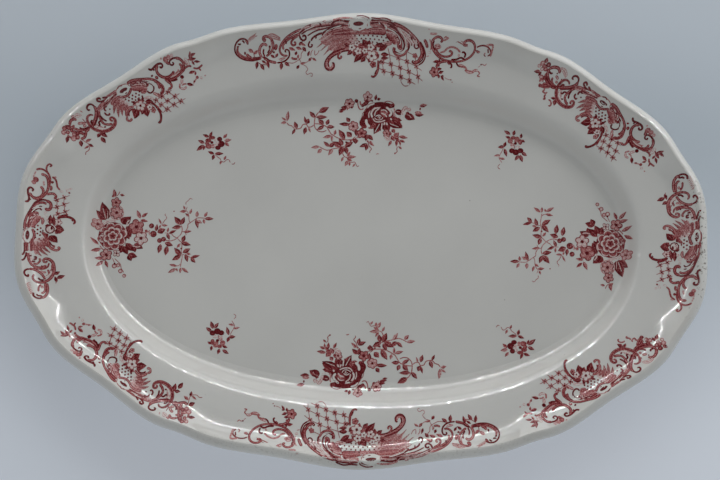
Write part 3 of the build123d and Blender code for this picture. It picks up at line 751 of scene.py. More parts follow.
def draw_medium_flowers(drawing):
    """The volute and the leaves under the shell, with the lattice that hangs beside them."""
    drawing.ribbons([
        (1.3, (-3.0, 17.6), (-5.6, 17.0), (-8.0, 17.8), (-9.4, 19.4), (-9.7, 20.8)),
        (0.8, (-3.6, 18.8), (-6.2, 18.4), (-8.0, 19.6), (-8.6, 21.0)),
        (1.2, (-9.9, 20.8), (-11.0, 22.2), (-10.2, 23.3), (-8.8, 23.2), (-8.4, 22.3)),
    ], tone=0.85)
    drawing.ribbon([(-3.0, 16.4), (-0.6, 17.0), (2.0, 17.2), (4.0, 18.0)], (1.2, 2.0, 2.0, 1.2), 0.9)
    drawing.ribbon([(-3.2, 20.8), (0.6, 21.4), (3.6, 21.0), (6.0, 21.4)], (1.0, 2.0, 2.4, 1.8), 0.9)
    drawing.leaves(
        ((-2.0, 19.6), (-7.0, 23.6), 3.6), ((-3.2, 18.6), (-6.0, 20.8), 2.2), ((2.4, 20.8), (0.5, 26.4), 4.0),
        ((1.0, 21.4), (-1.9, 23.6), 2.4), ((4.0, 18.6), (8.2, 21.2), 2.4), ((3.6, 21.2), (3.0, 25.0), 1.8),
        ((5.2, 22.6), (7.0, 26.2), 1.8), ((-1.0, 16.6), (-2.6, 14.6), 1.4), ((1.8, 16.8), (1.2, 14.8), 1.4),
        ((3.2, 17.6), (4.4, 15.4), 1.4), tone=0.98)
    drawing.flower((0.4, 19.2), 3.0, 0.03, 0.6, facing=20.0)
    drawing.flower((4.6, 22.6), 1.9, 0.05, 0.6)
    drawing.flower((5.6, 25.2), 1.5, 0.45, 0.75, facing=30.0)
    drawing.ribbon([(6.8, 20.8), (8.0, 23.4), (8.5, 26.4), (8.3, 29.2), (7.0, 31.3), (5.4, 32.2),
                    (4.0, 31.9)], (1.4, 1.0, 1.2, 1.3, 1.2, 1.2, 0.8), 0.92, sides=(0.05, -0.1, 0.05))
    drawing.ribbons([(0.5, (8.6, 23.8), (9.3, 26.6), (9.7, 29.0))], tone=0.75)
    drawing.trellis(
        rows=[
            ((9.8, 21.4), (14.2, 21.7), (18.6, 21.5)),
            ((11.4, 25.1), (16.0, 25.5), (21.3, 25.7)),
            ((13.4, 29.1), (18.5, 29.2), (23.3, 29.6)),
        ],
        columns=[
            ((9.8, 21.4), (11.4, 25.1), (13.4, 29.1), (15.0, 31.6)),
            ((12.8, 18.6), (14.2, 21.7), (16.0, 25.5), (18.5, 29.2), (20.2, 32.0)),
            ((18.6, 21.5), (21.3, 25.7), (23.3, 29.6), (24.8, 32.0)),
        ])
    drawing.ribbons([
        (0.32, (10.0, 29.2), (13.4, 29.1)),
        (0.32, (23.3, 29.6), (26.7, 29.5)),
        (0.32, (21.3, 25.7), (24.6, 25.6)),
        (0.32, (8.0, 25.4), (11.4, 25.1)),
        (0.32, (18.6, 21.5), (21.0, 21.9)),
    ], tone=0.55)


def draw_medium_right_scroll(drawing):
    """The trailing scrolls: an open C that runs on into a smaller one."""
    drawing.ribbons([
        (0.9, (14.3, 6.1), (15.8, 7.2), (18.2, 6.8), (20.4, 6.7), (22.0, 7.3), (22.2, 8.4), (21.2, 8.8),
         (20.4, 8.0)),
        (1.4, (20.0, 7.0), (18.4, 8.1), (18.0, 10.0), (18.8, 12.0), (20.4, 13.7), (22.8, 14.6),
         (25.2, 14.3), (26.9, 13.2)),
        (1.9, (20.4, 13.8), (22.2, 15.6), (25.0, 16.4), (28.0, 16.0), (30.6, 15.0), (33.0, 13.9)),
        (1.0, (32.4, 14.4), (34.4, 13.6), (36.2, 13.6), (36.8, 14.4)),
        (0.8, (17.4, 7.4), (16.5, 8.2)),
        (0.9, (23.0, 17.0), (24.6, 17.8), (26.4, 18.0)),
        (1.2, (20.4, 14.4), (21.2, 16.6), (22.2, 18.6), (22.0, 20.2), (20.6, 20.6), (20.0, 19.8)),
        (0.9, (21.8, 16.0), (22.8, 18.2)),
        (0.8, (27.8, 8.9), (28.3, 9.8), (27.2, 10.2), (26.3, 9.2), (26.8, 8.0), (28.8, 7.5), (31.0, 7.9)),
        (1.3, (30.2, 7.7), (32.2, 8.8), (33.3, 10.8), (33.0, 12.8), (31.4, 14.4)),
        (1.2, (31.0, 10.9), (31.8, 12.2), (31.2, 14.0)),
        (1.3, (24.6, 7.0), (25.9, 9.3)),
    ], tone=0.97)
    drawing.ribbon([(24.6, 15.0), (26.8, 14.9), (28.8, 14.3), (29.6, 13.2)], (0.6, 0.9, 0.6), 0.45)
    drawing.ribbons([(0.35, (23.6, 15.4), (26.4, 15.5), (29.4, 14.7))], tone=0.1)
    drawing.disc((29.8, 17.9), (1.2, 1.1), 1.0, facing=45.0, sides=8)
    drawing.disc((26.3, 17.9), 0.7, 0.9)
    drawing.disc((25.0, 6.6), 1.4, 0.5, 0.7)
    drawing.disc((27.0, 6.3), 1.2, 0.38, 0.5)
    drawing.disc((29.0, 6.2), 0.9, 0.25, 0.3)
    drawing.disc((23.0, 5.3), 0.5, 0.4)
    drawing.ribbons([
        (1.4, (29.4, 18.8), (28.6, 20.4), (28.4, 21.6)), (0.9, (27.2, 20.8), (26.2, 22.6), (26.6, 23.6)),
        (1.1, (26.4, 23.2), (28.2, 24.4), (30.2, 23.8)), (0.7, (27.8, 22.2), (29.6, 22.0), (30.6, 22.5)),
    ], tone=0.55)
    drawing.ribbons([(0.7, (34.6, 23.4), (36.0, 22.2), (38.2, 20.4)), (1.2, (39.6, 20.8), (40.8, 22.0)),
                     (0.8, (42.2, 20.8), (43.2, 20.6)), (1.3, (34.8, 9.2), (36.0, 11.6), (35.4, 13.2)),
                     (0.8, (33.8, 10.2), (34.8, 12.8))], tone=0.4)
    drawing.disc((38.0, 20.6), 0.9, 0.75)
    drawing.disc((35.6, 22.4), 0.6, 0.75)
    drawing.leaf((30.8, 22.4), (34.5, 24.4), 1.7, 0.9)


def draw_medium_right_end(drawing):
    """Leaves and a tendril past the trailing scroll."""
    drawing.leaves(
        ((37.8, 11.4), (39.0, 6.7), 2.0), ((38.4, 8.9), (41.6, 8.3), 1.3), ((37.0, 10.8), (41.0, 10.7), 1.6),
        ((39.2, 12.0), (42.7, 13.0), 1.3), ((38.2, 11.6), (38.9, 13.9), 1.2), tone=0.8)
    drawing.leaves(((34.2, 17.3), (38.3, 16.9), 1.6), ((38.3, 17.2), (37.1, 19.4), 1.1), tone=0.8)
    drawing.ribbons([(0.9, (37.6, 15.1), (39.6, 15.9), (41.6, 15.4), (43.2, 14.7)),
                     (0.8, (40.6, 15.8), (41.3, 17.6)), (0.6, (36.0, 10.4), (37.8, 10.6))], tone=0.68)


def draw_medium_curled_end(drawing):
    """The other leading end: the same scrolls over a dark leaf, with tendrils that curl below."""
    drawing.ribbon([(-38.8, 11.0), (-37.8, 13.2), (-35.2, 15.2), (-32.2, 16.2), (-30.0, 15.8)],
                   (1.0, 2.0, 2.6, 2.2, 1.6), 0.96)
    drawing.ribbon([(-33.4, 16.8), (-36.4, 17.4), (-38.6, 18.0), (-39.8, 19.2)], (2.0, 3.0, 2.6, 1.8), 0.97)
    drawing.ribbons([
        (1.4, (-38.2, 8.6), (-36.6, 7.3), (-34.4, 6.7), (-32.8, 7.2), (-32.0, 8.6)),
        (1.3, (-38.0, 8.4), (-38.2, 10.4), (-37.0, 12.6), (-35.2, 14.4)),
        (0.9, (-37.8, 9.6), (-36.4, 10.4), (-35.4, 9.8)),
        (1.0, (-34.4, 11.8), (-34.2, 13.4), (-32.6, 15.0), (-30.2, 15.4)),
        (0.9, (-33.4, 8.9), (-32.8, 9.3)),
    ])
    drawing.ribbons([
        (1.3, (-33.4, 10.6), (-32.2, 10.8), (-31.4, 11.8)),
        (1.4, (-32.2, 13.0), (-30.6, 13.2)),
        (0.6, (-29.4, 10.2), (-29.6, 11.2)),
    ], tone=0.75)
    drawing.ribbon([(-33.0, 6.3), (-30.4, 6.5), (-28.6, 7.7), (-28.0, 9.0)], (0.9, 1.9, 1.8, 0.5), 0.5)
    for centre, radius, tone in (((-42.7, 7.2), 1.3, 0.5), ((-43.9, 8.8), 1.0, 0.4),
                                 ((-41.2, 8.4), 1.2, 0.75), ((-39.4, 7.0), 1.3, 0.85),
                                 ((-40.0, 9.4), 1.2, 0.65), ((-41.8, 9.9), 1.0, 0.45),
                                 ((-40.4, 13.8), 1.3, 0.5), ((-39.6, 15.6), 1.3, 0.6),
                                 ((-38.4, 13.6), 1.2, 0.85)):
        drawing.disc(centre, radius, tone - 0.35, tone + 0.15)
    drawing.disc((-39.0, 16.6), 0.9, 0.05)
    drawing.leaves(((-41.2, 6.8), (-41.6, 4.1), 1.9), ((-42.0, 11.4), (-45.6, 12.2), 1.8),
                   ((-41.6, 11.2), (-42.4, 13.9), 1.4), ((-27.6, 21.2), (-30.4, 22.2), 1.5),
                   ((-27.6, 21.6), (-26.4, 24.9), 2.3), tone=0.88)
    drawing.ribbons([
        (0.8, (-36.6, 18.8), (-35.8, 19.8), (-36.2, 21.0), (-34.4, 21.3), (-33.6, 20.3)),
        (0.9, (-33.8, 21.8), (-34.2, 23.0), (-33.2, 24.2), (-34.4, 24.7)),
        (0.8, (-31.2, 23.6), (-29.6, 23.8), (-28.4, 25.0), (-28.6, 26.2), (-29.6, 26.6)),
    ], tone=0.6)


def draw_medium_leafy(drawing):
    """The medium print whose leading end is leaves and blossom."""
    draw_medium_leafy_end(drawing)
    draw_medium_rest(drawing)


def draw_medium_curled(drawing):
    """The medium print whose leading end is curled tendrils."""
    draw_medium_curled_end(drawing)
    draw_medium_rest(drawing)


def draw_medium_rest(drawing):
    """What both kinds of medium print share."""
    draw_medium_left_scroll(drawing)
    draw_medium_shell(drawing)
    draw_medium_flowers(drawing)
    draw_medium_right_scroll(drawing)
    draw_medium_right_end(drawing)


# ---- the small border print ----------------------------------------------------------------------------
def draw_small_left_scrolls(drawing):
    """The scrolls of the leading end, one winding over the next, with their leaves."""
    drawing.ribbon([(-24.8, 9.9), (-26.0, 8.9), (-27.8, 9.0), (-29.4, 10.6), (-30.0, 13.2), (-29.5, 16.2),
                    (-28.0, 18.6), (-25.8, 20.2), (-22.8, 20.8), (-19.8, 20.4), (-17.6, 18.7), (-16.8, 16.7),
                    (-17.4, 15.4), (-18.6, 15.7), (-18.9, 16.9), (-18.0, 17.4)],
                   (0.8, 1.0, 1.3, 1.6, 1.7, 1.6, 1.3, 1.0, 1.0), 0.93)
    drawing.ribbons([
        (1.3, (-38.4, 8.6), (-38.4, 10.4), (-36.8, 12.6), (-34.0, 14.2), (-31.0, 14.9)),
        (0.9, (-34.8, 6.6), (-36.4, 5.9), (-38.0, 6.8), (-38.6, 8.6), (-37.4, 9.3), (-36.9, 8.0),
         (-35.8, 7.6)),
        (1.1, (-35.8, 9.9), (-35.8, 11.2), (-34.2, 12.8), (-30.6, 14.2)),
        (1.2, (-28.8, 14.8), (-26.0, 14.0), (-23.6, 12.2), (-22.0, 9.8), (-21.7, 7.8)),
        (0.85, (-21.7, 8.0), (-22.2, 6.2), (-23.6, 5.3), (-25.2, 5.8), (-25.6, 6.8), (-24.4, 7.0)),
        (0.9, (-28.8, 14.0), (-28.4, 12.3), (-26.9, 11.4)),
        (1.6, (-20.4, 10.0), (-21.5, 12.2), (-21.8, 14.4), (-21.2, 16.0), (-20.4, 16.3)),
        (0.9, (-21.2, 14.3), (-20.3, 14.3)),
        (1.0, (-27.2, 15.6), (-26.6, 17.3), (-24.8, 17.6), (-23.4, 17.1)),
        (1.0, (-24.5, 18.6), (-23.4, 19.7), (-20.8, 19.9)),
    ], tone=0.93)
    drawing.ribbons([
        (0.9, (-34.6, 9.0), (-32.4, 10.1), (-30.8, 11.8)), (1.2, (-33.4, 11.6), (-31.6, 12.0)),
        (1.0, (-24.7, 16.2), (-24.5, 14.6), (-23.4, 13.2)),
        (0.9, (-22.0, 12.4), (-22.5, 15.0), (-21.8, 17.4), (-19.6, 18.4)),
    ], tone=0.7)
    drawing.ribbon([(-27.6, 15.0), (-26.6, 18.0), (-24.4, 19.4)], (0.8, 1.2, 0.6), 0.3)
    drawing.hatch((-35.6, 4.4), (-30.0, 4.9), (1.0, 2.4), 7, width=0.5, tone=0.4)
    drawing.leaves(((-32.2, 20.2), (-28.2, 20.2), 1.7), ((-29.8, 20.8), (-29.4, 25.6), 2.3),
                   ((-27.2, 20.2), (-26.2, 23.6), 2.0), tone=0.95)
    drawing.ribbon([(-32.8, 19.3), (-31.2, 20.1)], 0.4, 0.6)


def draw_small_shell(drawing):
    """The shell of a small print: bands and feathers to the left, a dark right flank, and the boss."""
    drawing.ribbon([(-20.2, 10.0), (-17.0, 8.6), (-13.0, 8.2)], (0.9, 2.2, 1.6), 0.5)
    drawing.ribbon([(-14.0, 11.6), (-9.6, 11.6), (-5.0, 11.8)], (1.0, 3.8, 3.4), (0.4, 0.5, 0.12),
                   sides=(-0.1, 0.1))
    drawing.ribbon([(-11.0, 15.2), (-7.4, 14.6), (-4.0, 14.6)], (1.6, 4.0, 3.0), (0.3, 0.45, 0.1),
                   sides=(-0.1, 0.1))
    drawing.fan(((-7.4, 10.2), (-6.6, 11.6), (-5.6, 13.4), (-4.8, 15.0)),
                ((-15.2, 14.6), (-15.1, 18.0), (-13.7, 19.3), (-10.4, 18.4)), 1.8, 0.72, bend=0.1)
    drawing.ribbons([
        (1.1, (-20.6, 10.2), (-19.0, 8.9), (-16.2, 7.9), (-13.2, 7.6)),
        (0.8, (-17.2, 4.4), (-16.7, 5.7), (-14.8, 6.6), (-12.8, 6.9)),
        (0.8, (-14.5, 4.9), (-13.4, 5.7), (-11.4, 6.1), (-7.8, 5.9)),
        (2.0, (-12.3, 7.0), (-10.0, 6.9), (-7.6, 7.2)),
        (1.8, (-12.2, 9.2), (-8.6, 8.9), (-5.4, 9.2)),
        (1.0, (-18.9, 10.0), (-19.2, 11.8), (-18.2, 13.2), (-17.0, 13.8), (-16.4, 12.9)),
        (0.9, (-17.8, 9.2), (-17.7, 11.2)),
        (0.9, (-16.5, 10.2), (-16.5, 11.5), (-15.4, 11.6), (-15.3, 10.4)),
        (0.8, (-14.8, 8.2), (-14.5, 9.5)),
        (0.7, (-6.2, 5.2), (-4.0, 4.7), (-1.0, 5.1)),
        (1.3, (-6.2, 9.6), (-3.8, 10.2), (-1.8, 9.8), (0.0, 9.0)),
        (1.2, (-1.0, 5.4), (3.0, 5.6), (7.6, 7.0), (11.6, 9.0), (14.6, 11.4), (15.6, 14.0), (15.0, 15.6)),
        (0.9, (6.6, 6.6), (11.0, 8.2), (14.8, 10.0), (16.9, 12.8), (17.4, 15.6)),
        (1.6, (17.0, 15.2), (16.4, 17.4), (14.4, 18.2), (12.4, 17.5), (12.0, 16.0), (12.9, 15.2)),
        (0.8, (7.6, 8.2), (10.4, 9.9), (11.9, 12.0), (11.0, 13.4)),
        (0.7, (12.8, 11.8), (13.3, 13.4)), (0.6, (-1.4, 14.4), (0.2, 14.4)),
    ], tone=0.95)
    drawing.ribbon([(0.6, 8.6), (3.6, 9.2), (6.2, 10.8), (7.4, 13.0)], (2.4, 3.6, 4.2, 2.8), 0.5,
                   sides=(-0.4, 0.0, 0.3))
    drawing.ribbon([(0.0, 7.0), (3.4, 7.2), (7.0, 8.8), (9.4, 11.8)], (1.6, 2.4, 2.8, 1.8), 0.97)
    drawing.ribbon([(3.0, 13.8), (5.2, 14.2), (7.0, 13.6)], (0.9, 1.6, 1.0), 0.8)
    drawing.ribbons([(0.45, (8.8, 8.4), (11.4, 10.2), (12.6, 12.8), (12.4, 14.2)),
                     (0.4, (10.6, 8.6), (13.6, 11.2)), (0.5, (-11.8, 8.1), (-8.0, 8.0)),
                     (0.35, (2.0, 6.2), (6.0, 7.0))], tone=0.0)
    drawing.disc((-4.2, 6.9), (3.7, 1.9), 0.0, sides=18)
    drawing.disc((-3.8, 6.9), (2.5, 0.95), 1.0, sides=14)
    drawing.ring((-4.2, 6.9), (3.7, 1.9), 0.35, 0.5, start=-190.0, end=10.0)
    for x, y in ((-4.6, 10.7), (-1.4, 10.2), (0.9, 10.1), (-2.3, 11.6), (-0.1, 11.6), (2.1, 11.7),
                 (-5.2, 12.8), (-3.1, 13.0), (-1.2, 13.2), (0.9, 13.2)):
        drawing.disc((x, y), 0.55, 0.85, sides=8)


def draw_small_flowers(drawing):
    """The volute, flowers and leaves under the shell, with the lattice that hangs beside them."""
    drawing.ribbon([(-6.6, 17.2), (-4.0, 16.4), (-2.2, 15.0), (-1.6, 13.8)], (1.0, 1.8, 1.6, 1.0), 0.93)
    drawing.ribbons([
        (1.3, (-5.4, 17.4), (-8.4, 18.0), (-10.8, 19.4), (-12.2, 21.6), (-12.3, 23.2), (-11.2, 24.0),
         (-10.2, 23.0)),
        (1.2, (-10.7, 19.8), (-10.2, 21.6)),
        (0.7, (-6.8, 18.4), (-8.8, 19.6), (-9.8, 21.6)),
    ], tone=0.85)
    drawing.leaves(
        ((-3.0, 18.6), (-7.6, 22.8), 3.6), ((-3.2, 18.0), (-7.0, 19.8), 2.2), ((3.2, 18.2), (9.4, 18.2), 2.6),
        ((2.6, 20.4), (9.0, 19.9), 2.2), ((-0.6, 20.6), (0.5, 26.0), 3.2), ((2.8, 20.8), (0.8, 25.8), 2.8),
        ((-0.4, 21.2), (-2.0, 22.8), 2.0), ((-2.0, 16.0), (-4.0, 17.4), 1.6), ((2.2, 15.4), (3.2, 18.6), 1.6),
        tone=0.98)
    drawing.disc((0.6, 18.2), 2.7, 0.95)
    drawing.disc((0.5, 18.2), 2.0, 0.05, 0.2)
    drawing.disc((1.3, 19.1), (1.1, 0.7), 1.0)
    drawing.flower((5.3, 22.6), 2.1, 0.12, 0.65, facing=20.0)
    drawing.ribbon([(7.6, 21.8), (8.8, 24.4), (9.4, 27.0), (9.0, 29.6), (7.6, 31.2), (6.0, 31.4),
                    (4.9, 30.5)], (1.1, 1.4, 1.5, 1.5, 1.3, 1.1, 0.6), 0.92, sides=(0.05, -0.12, 0.05))
    drawing.ribbons([
        (0.9, (8.2, 22.2), (9.9, 24.8), (11.0, 27.8)), (0.6, (6.6, 30.2), (8.2, 29.8)),
    ], tone=0.85)
    drawing.disc((7.8, 15.4), 1.3, 0.08)
    drawing.disc((5.6, 16.4), 0.9, 0.2)
    drawing.ribbon([(9.6, 14.6), (10.8, 16.4)], 1.0, 0.3)
    drawing.trellis(
        rows=[((10.3, 22.2), (14.6, 21.5), (19.0, 21.0)), ((12.5, 26.1), (17.1, 25.1), (21.8, 24.6))],
        columns=[
            ((9.0, 19.4), (10.3, 22.2), (12.5, 26.1), (14.6, 28.5)),
            ((13.4, 18.6), (14.6, 21.5), (17.1, 25.1), (19.3, 28.0)),
            ((18.2, 19.0), (19.0, 21.0), (21.8, 24.6), (24.0, 27.3)),
        ])


def draw_small_right_scroll(drawing):
    """The trailing scrolls: an open C and the stems that wind out of it."""
    drawing.ribbons([
        (0.9, (13.3, 4.9), (14.0, 6.3), (15.8, 6.6), (18.2, 5.8), (20.2, 5.6), (21.4, 6.6), (20.9, 7.8),
         (19.7, 7.5)),
        (1.3, (18.6, 6.5), (17.1, 8.0), (17.1, 10.2), (18.6, 12.2), (20.8, 13.0), (22.8, 12.4),
         (23.9, 10.8)),
        (1.3, (16.5, 8.0), (16.9, 10.6), (18.8, 13.0), (21.6, 14.5), (25.0, 14.8), (28.4, 13.6),
         (30.4, 11.6), (30.3, 9.0)),
        (0.8, (15.2, 6.8), (15.5, 7.6)),
        (1.3, (20.6, 14.8), (21.6, 16.6), (22.1, 18.4), (21.2, 20.0), (19.9, 19.9), (19.5, 19.1)),
        (1.2, (23.4, 16.5), (25.0, 16.5), (26.2, 15.8)),
    ], tone=0.93)
    drawing.ribbons([
        (0.9, (25.0, 15.3), (29.2, 14.5), (32.0, 12.2), (32.9, 9.2), (32.2, 7.2), (31.0, 6.3)),
        (0.8, (32.0, 11.9), (33.8, 10.2), (35.6, 9.6), (37.2, 10.2), (36.9, 11.4), (35.8, 10.8)),
        (0.9, (31.4, 14.6), (30.5, 17.0), (28.6, 18.5), (26.6, 19.6), (25.4, 21.4)),
    ], tone=0.7)
    drawing.disc((24.6, 7.2), 1.1, 0.45, 0.6)
    drawing.disc((26.4, 7.8), 1.4, 0.65, 0.75)
    drawing.disc((28.4, 16.0), 0.8, 0.8)
    drawing.ribbons([(0.5, (26.6, 6.4), (30.4, 6.4)), (0.9, (25.0, 12.4), (27.4, 11.4)),
                     (0.8, (31.8, 15.4), (31.9, 17.0)), (1.0, (24.6, 21.4), (25.0, 23.4)),
                     (1.1, (25.4, 25.8), (27.8, 24.4)), (1.0, (27.6, 25.6), (28.8, 27.4))], tone=0.35)
    drawing.disc((25.5, 26.6), 0.6, 0.8)


def draw_small_border(drawing):
    """The narrowest print, for the lobe at each end of the platter."""
    draw_small_left_scrolls(drawing)
    draw_small_shell(drawing)
    draw_small_flowers(drawing)
    draw_small_right_scroll(drawing)


# ---- sprays and sprigs of the well ---------------------------------------------------------------------
# x and y lie as they do on the platter's plan, about the middle of each spray.
def draw_long_vine(drawing):
    """The vine at the long spray's leading side, with its leaves."""
    drawing.ribbons([
        (0.5, (-10.6, -13.4), (-13.6, -13.0), (-16.0, -12.0), (-17.2, -11.2), (-18.6, -10.4), (-20.0, -8.2),
         (-21.2, -6.4), (-22.6, -5.6), (-25.4, -4.8), (-28.2, -4.7)),
        (0.5, (-21.2, -8.4), (-23.6, -9.3), (-26.0, -8.8), (-27.8, -6.8), (-28.2, -4.4), (-27.9, -1.4),
         (-26.6, 1.2), (-25.4, 2.2)),
        (0.5, (-28.4, -5.4), (-30.0, -6.6), (-31.8, -6.6), (-32.6, -5.2), (-34.6, -5.4), (-35.8, -7.4),
         (-37.8, -8.0), (-39.4, -7.8), (-40.8, -6.4), (-42.6, -5.8), (-43.8, -4.4)),
        (0.45, (-5.0, -12.8), (-7.2, -13.4), (-10.6, -13.6), (-14.2, -13.2)),
        (0.45, (-10.8, -17.2), (-13.6, -18.2), (-17.0, -18.9), (-20.4, -19.8), (-23.0, -19.0),
         (-25.2, -17.8)),
        (0.45, (-13.0, -18.6), (-11.8, -21.4), (-10.8, -23.2), (-9.0, -23.8)),
        (0.4, (-30.9, -6.7), (-30.5, -8.8)),
        (0.35, (-9.4, -23.6), (-8.6, -25.4), (-7.0, -26.6), (-5.0, -26.2), (-4.2, -27.4), (-3.4, -28.8),
         (-2.4, -28.2)),
    ], tone=0.55)
    drawing.leaves(
        ((-25.8, 2.0), (-21.1, 4.6), 2.4), ((-27.9, -1.3), (-30.6, 1.8), 1.8),
        ((-27.4, -0.9), (-22.0, -0.7), 1.8), ((-22.9, -5.0), (-25.6, -2.5), 2.0),
        ((-21.4, -5.2), (-20.2, -2.4), 1.7), ((-22.6, -5.8), (-26.0, -7.9), 1.6),
        ((-21.0, -6.2), (-17.4, -6.3), 1.7), ((-32.8, -4.9), (-31.6, -2.3), 2.2),
        ((-33.0, -4.6), (-33.8, -1.2), 1.1), ((-32.8, -6.8), (-33.7, -10.4), 1.7),
        ((-37.9, -7.8), (-39.2, -4.4), 1.8), ((-38.9, -8.0), (-40.3, -10.7), 1.2),
        ((-10.8, -13.2), (-13.8, -8.6), 2.4), ((-7.0, -11.8), (-9.4, -9.4), 2.4),
        ((-11.8, -16.8), (-13.7, -13.6), 1.9), ((-12.4, -17.7), (-17.0, -15.3), 2.4),
        ((-10.8, -17.4), (-6.8, -15.2), 2.2), ((-11.6, -17.4), (-13.4, -21.9), 2.4),
        ((-10.4, -17.4), (-9.4, -21.2), 2.0), ((-19.5, -17.9), (-16.9, -15.8), 1.9),
        ((-19.4, -17.8), (-22.2, -15.3), 1.5),
        tone=0.85, growth=1.2)
    drawing.leaves(
        ((-17.2, -18.7), (-19.5, -22.2), 1.6), ((-24.8, -17.9), (-28.9, -18.5), 1.5),
        ((-23.6, -19.2), (-25.6, -21.4), 1.7), ((-18.2, -11.4), (-22.4, -12.5), 1.5),
        ((-16.9, -11.0), (-16.2, -8.4), 1.4), ((-18.0, -11.3), (-18.0, -14.3), 1.1),
        ((-43.8, -3.8), (-43.2, 1.4), 1.6), ((-44.0, -4.2), (-46.6, -4.8), 1.4),
        ((-44.2, -3.4), (-46.4, -1.8), 1.0), ((-31.4, -6.7), (-30.4, -9.3), 0.9),
        ((-11.2, -23.4), (-12.3, -25.8), 1.1), ((-9.2, -23.4), (-5.0, -23.2), 1.5),
        ((-9.0, -24.0), (-6.8, -25.6), 1.3), ((-9.4, -23.0), (-7.8, -20.8), 1.2),
        ((-8.6, -25.4), (-10.0, -28.2), 1.5),
        ((-7.6, -26.2), (-7.8, -28.2), 1.0), ((-4.6, -27.2), (-5.8, -28.8), 0.9), tone=0.6, growth=1.2)
    drawing.ribbons([(1.1, (-7.4, -13.4), (-7.3, -14.6)), (0.9, (-9.0, -15.2), (-10.6, -14.8))])


def draw_rose(drawing, centre, radius):
    """A rose seen from above: three rings of petals, dark at the root, with pale outer edges."""
    drawing.disc(centre, radius * 1.04, 0.97, 0.85, sides=22)
    rings = ((0.74, 0.32, 0.87, 8, 15.0), (0.46, 0.27, 0.79, 7, 0.0), (0.22, 0.17, 0.72, 5, 20.0))
    for reach, size, root, count, turn in rings:
        for angle in np.radians(turn + 360.0 / count * np.arange(count)):
            outward = np.array([math.cos(angle), math.sin(angle)]) * radius
            petal = np.array(centre) + outward * reach
            drawing.disc(petal, radius * size, 0.85, sides=14)
            drawing.disc(petal, radius * size * 0.92, 0.14, sides=14)
            drawing.disc(petal - outward * size * (1.0 - root) * 1.7, radius * size * root, 0.95, 0.6,
                         sides=14)
    drawing.disc(centre, radius * 0.1, 1.0, sides=8)


def draw_long_rose(drawing):
    """The rose of the long spray, seen half from the side, with its buds and broad leaves."""
    drawing.leaves(
        ((2.4, -4.6), (-2.2, -1.0), 3.6), ((1.2, -4.0), (-1.6, -6.6), 3.2), ((1.4, 0.4), (-2.0, -3.4), 3.4),
        ((9.8, -2.0), (5.4, -9.9), 4.2), ((10.2, -2.4), (9.0, -8.0), 3.0),
        ((12.6, -2.0), (21.6, -6.0), 4.0), ((13.0, -1.6), (16.6, -5.8), 3.0),
        ((15.0, -0.8), (21.2, -1.6), 3.4), ((16.4, -1.8), (21.6, -5.2), 3.0),
        ((12.0, -3.4), (11.2, -8.0), 2.8), ((12.6, -4.0), (14.0, -8.2), 2.6),
        ((12.8, -0.4), (17.2, 0.6), 1.8),
        tone=1.0)
    drawing.ribbon([(-0.7, -5.8), (-0.8, -3.4), (0.8, -0.4), (1.8, 3.2), (4.8, 5.8), (9.0, 6.9), (13.4, 6.7),
                    (16.4, 6.4)], (2.4, 3.6, 3.2, 3.4, 3.8, 3.4, 2.8, 1.2), 0.97, sides=(0.0, 0.0))
    drawing.disc((3.2, -2.8), (1.9, 3.6), 0.97)
    drawing.disc((8.8, 1.2), (7.6, 5.4), 0.97, 0.9, sides=22)
    drawing.disc((11.0, 2.4), (2.9, 2.2), 0.4, 0.85, facing=-25.0)
    drawing.ribbon([(2.2, -6.2), (5.4, -5.4), (5.0, -3.6)], (1.6, 2.0, 2.4), 0.95)
    drawing.leaf((14.8, 5.6), (16.2, 8.2), 2.6, 0.95)
    drawing.ribbons([
        (0.9, (4.4, -0.4), (3.8, 2.2), (5.6, 5.0), (8.8, 5.7)),
        (0.6, (5.6, 0.6), (6.2, 3.2), (8.3, 5.1)),
        (1.1, (12.0, 6.0), (14.0, 4.4), (15.1, 2.4), (13.8, 0.5)),
        (1.1, (1.1, 5.2), (2.7, 6.9), (5.4, 7.9)),
        (1.3, (1.0, -1.4), (1.3, -3.8), (3.1, -5.9)),
        (0.5, (2.5, -0.6), (2.4, 1.8), (3.2, 3.6)),
        (0.6, (4.6, -0.8), (6.2, -2.5), (9.2, -2.6), (11.8, -1.6)),
        (0.5, (6.2, 0.4), (8.0, 1.2), (9.6, 0.4)),
        (0.4, (5.6, -0.4), (7.2, -1.5), (9.4, -1.4), (10.4, 0.0)),
        (0.6, (9.2, 2.4), (11.4, 1.6), (12.6, 0.2)),
        (0.4, (7.3, -0.3), (8.1, 0.3), (8.8, -0.4), (8.0, -0.8)),
        (0.5, (9.0, 4.0), (11.4, 4.2), (12.8, 2.8)),
        (0.9, (14.6, -0.4), (15.4, -1.6)),
        (0.8, (11.6, -2.8), (11.0, -4.6)),
        (0.6, (10.0, -3.4), (9.6, -7.6)),
        (0.8, (12.4, -3.0), (13.0, -4.6)),
        (1.0, (4.8, -8.0), (3.4, -8.0)),
        (0.35, (8.6, -3.8), (6.0, -8.8)),
        (0.3, (14.4, -3.6), (19.4, -5.4)),
    ], tone=0.1)
    drawing.ribbons([
        (0.4, (10.2, 8.3), (13.0, 9.3), (15.8, 8.4), (17.0, 6.8)),
        (0.35, (-1.4, -0.4), (-1.1, 2.0), (0.6, 3.8)),
        (0.35, (0.9, 4.4), (2.0, 7.0), (5.2, 8.4)),
    ], tone=0.6)


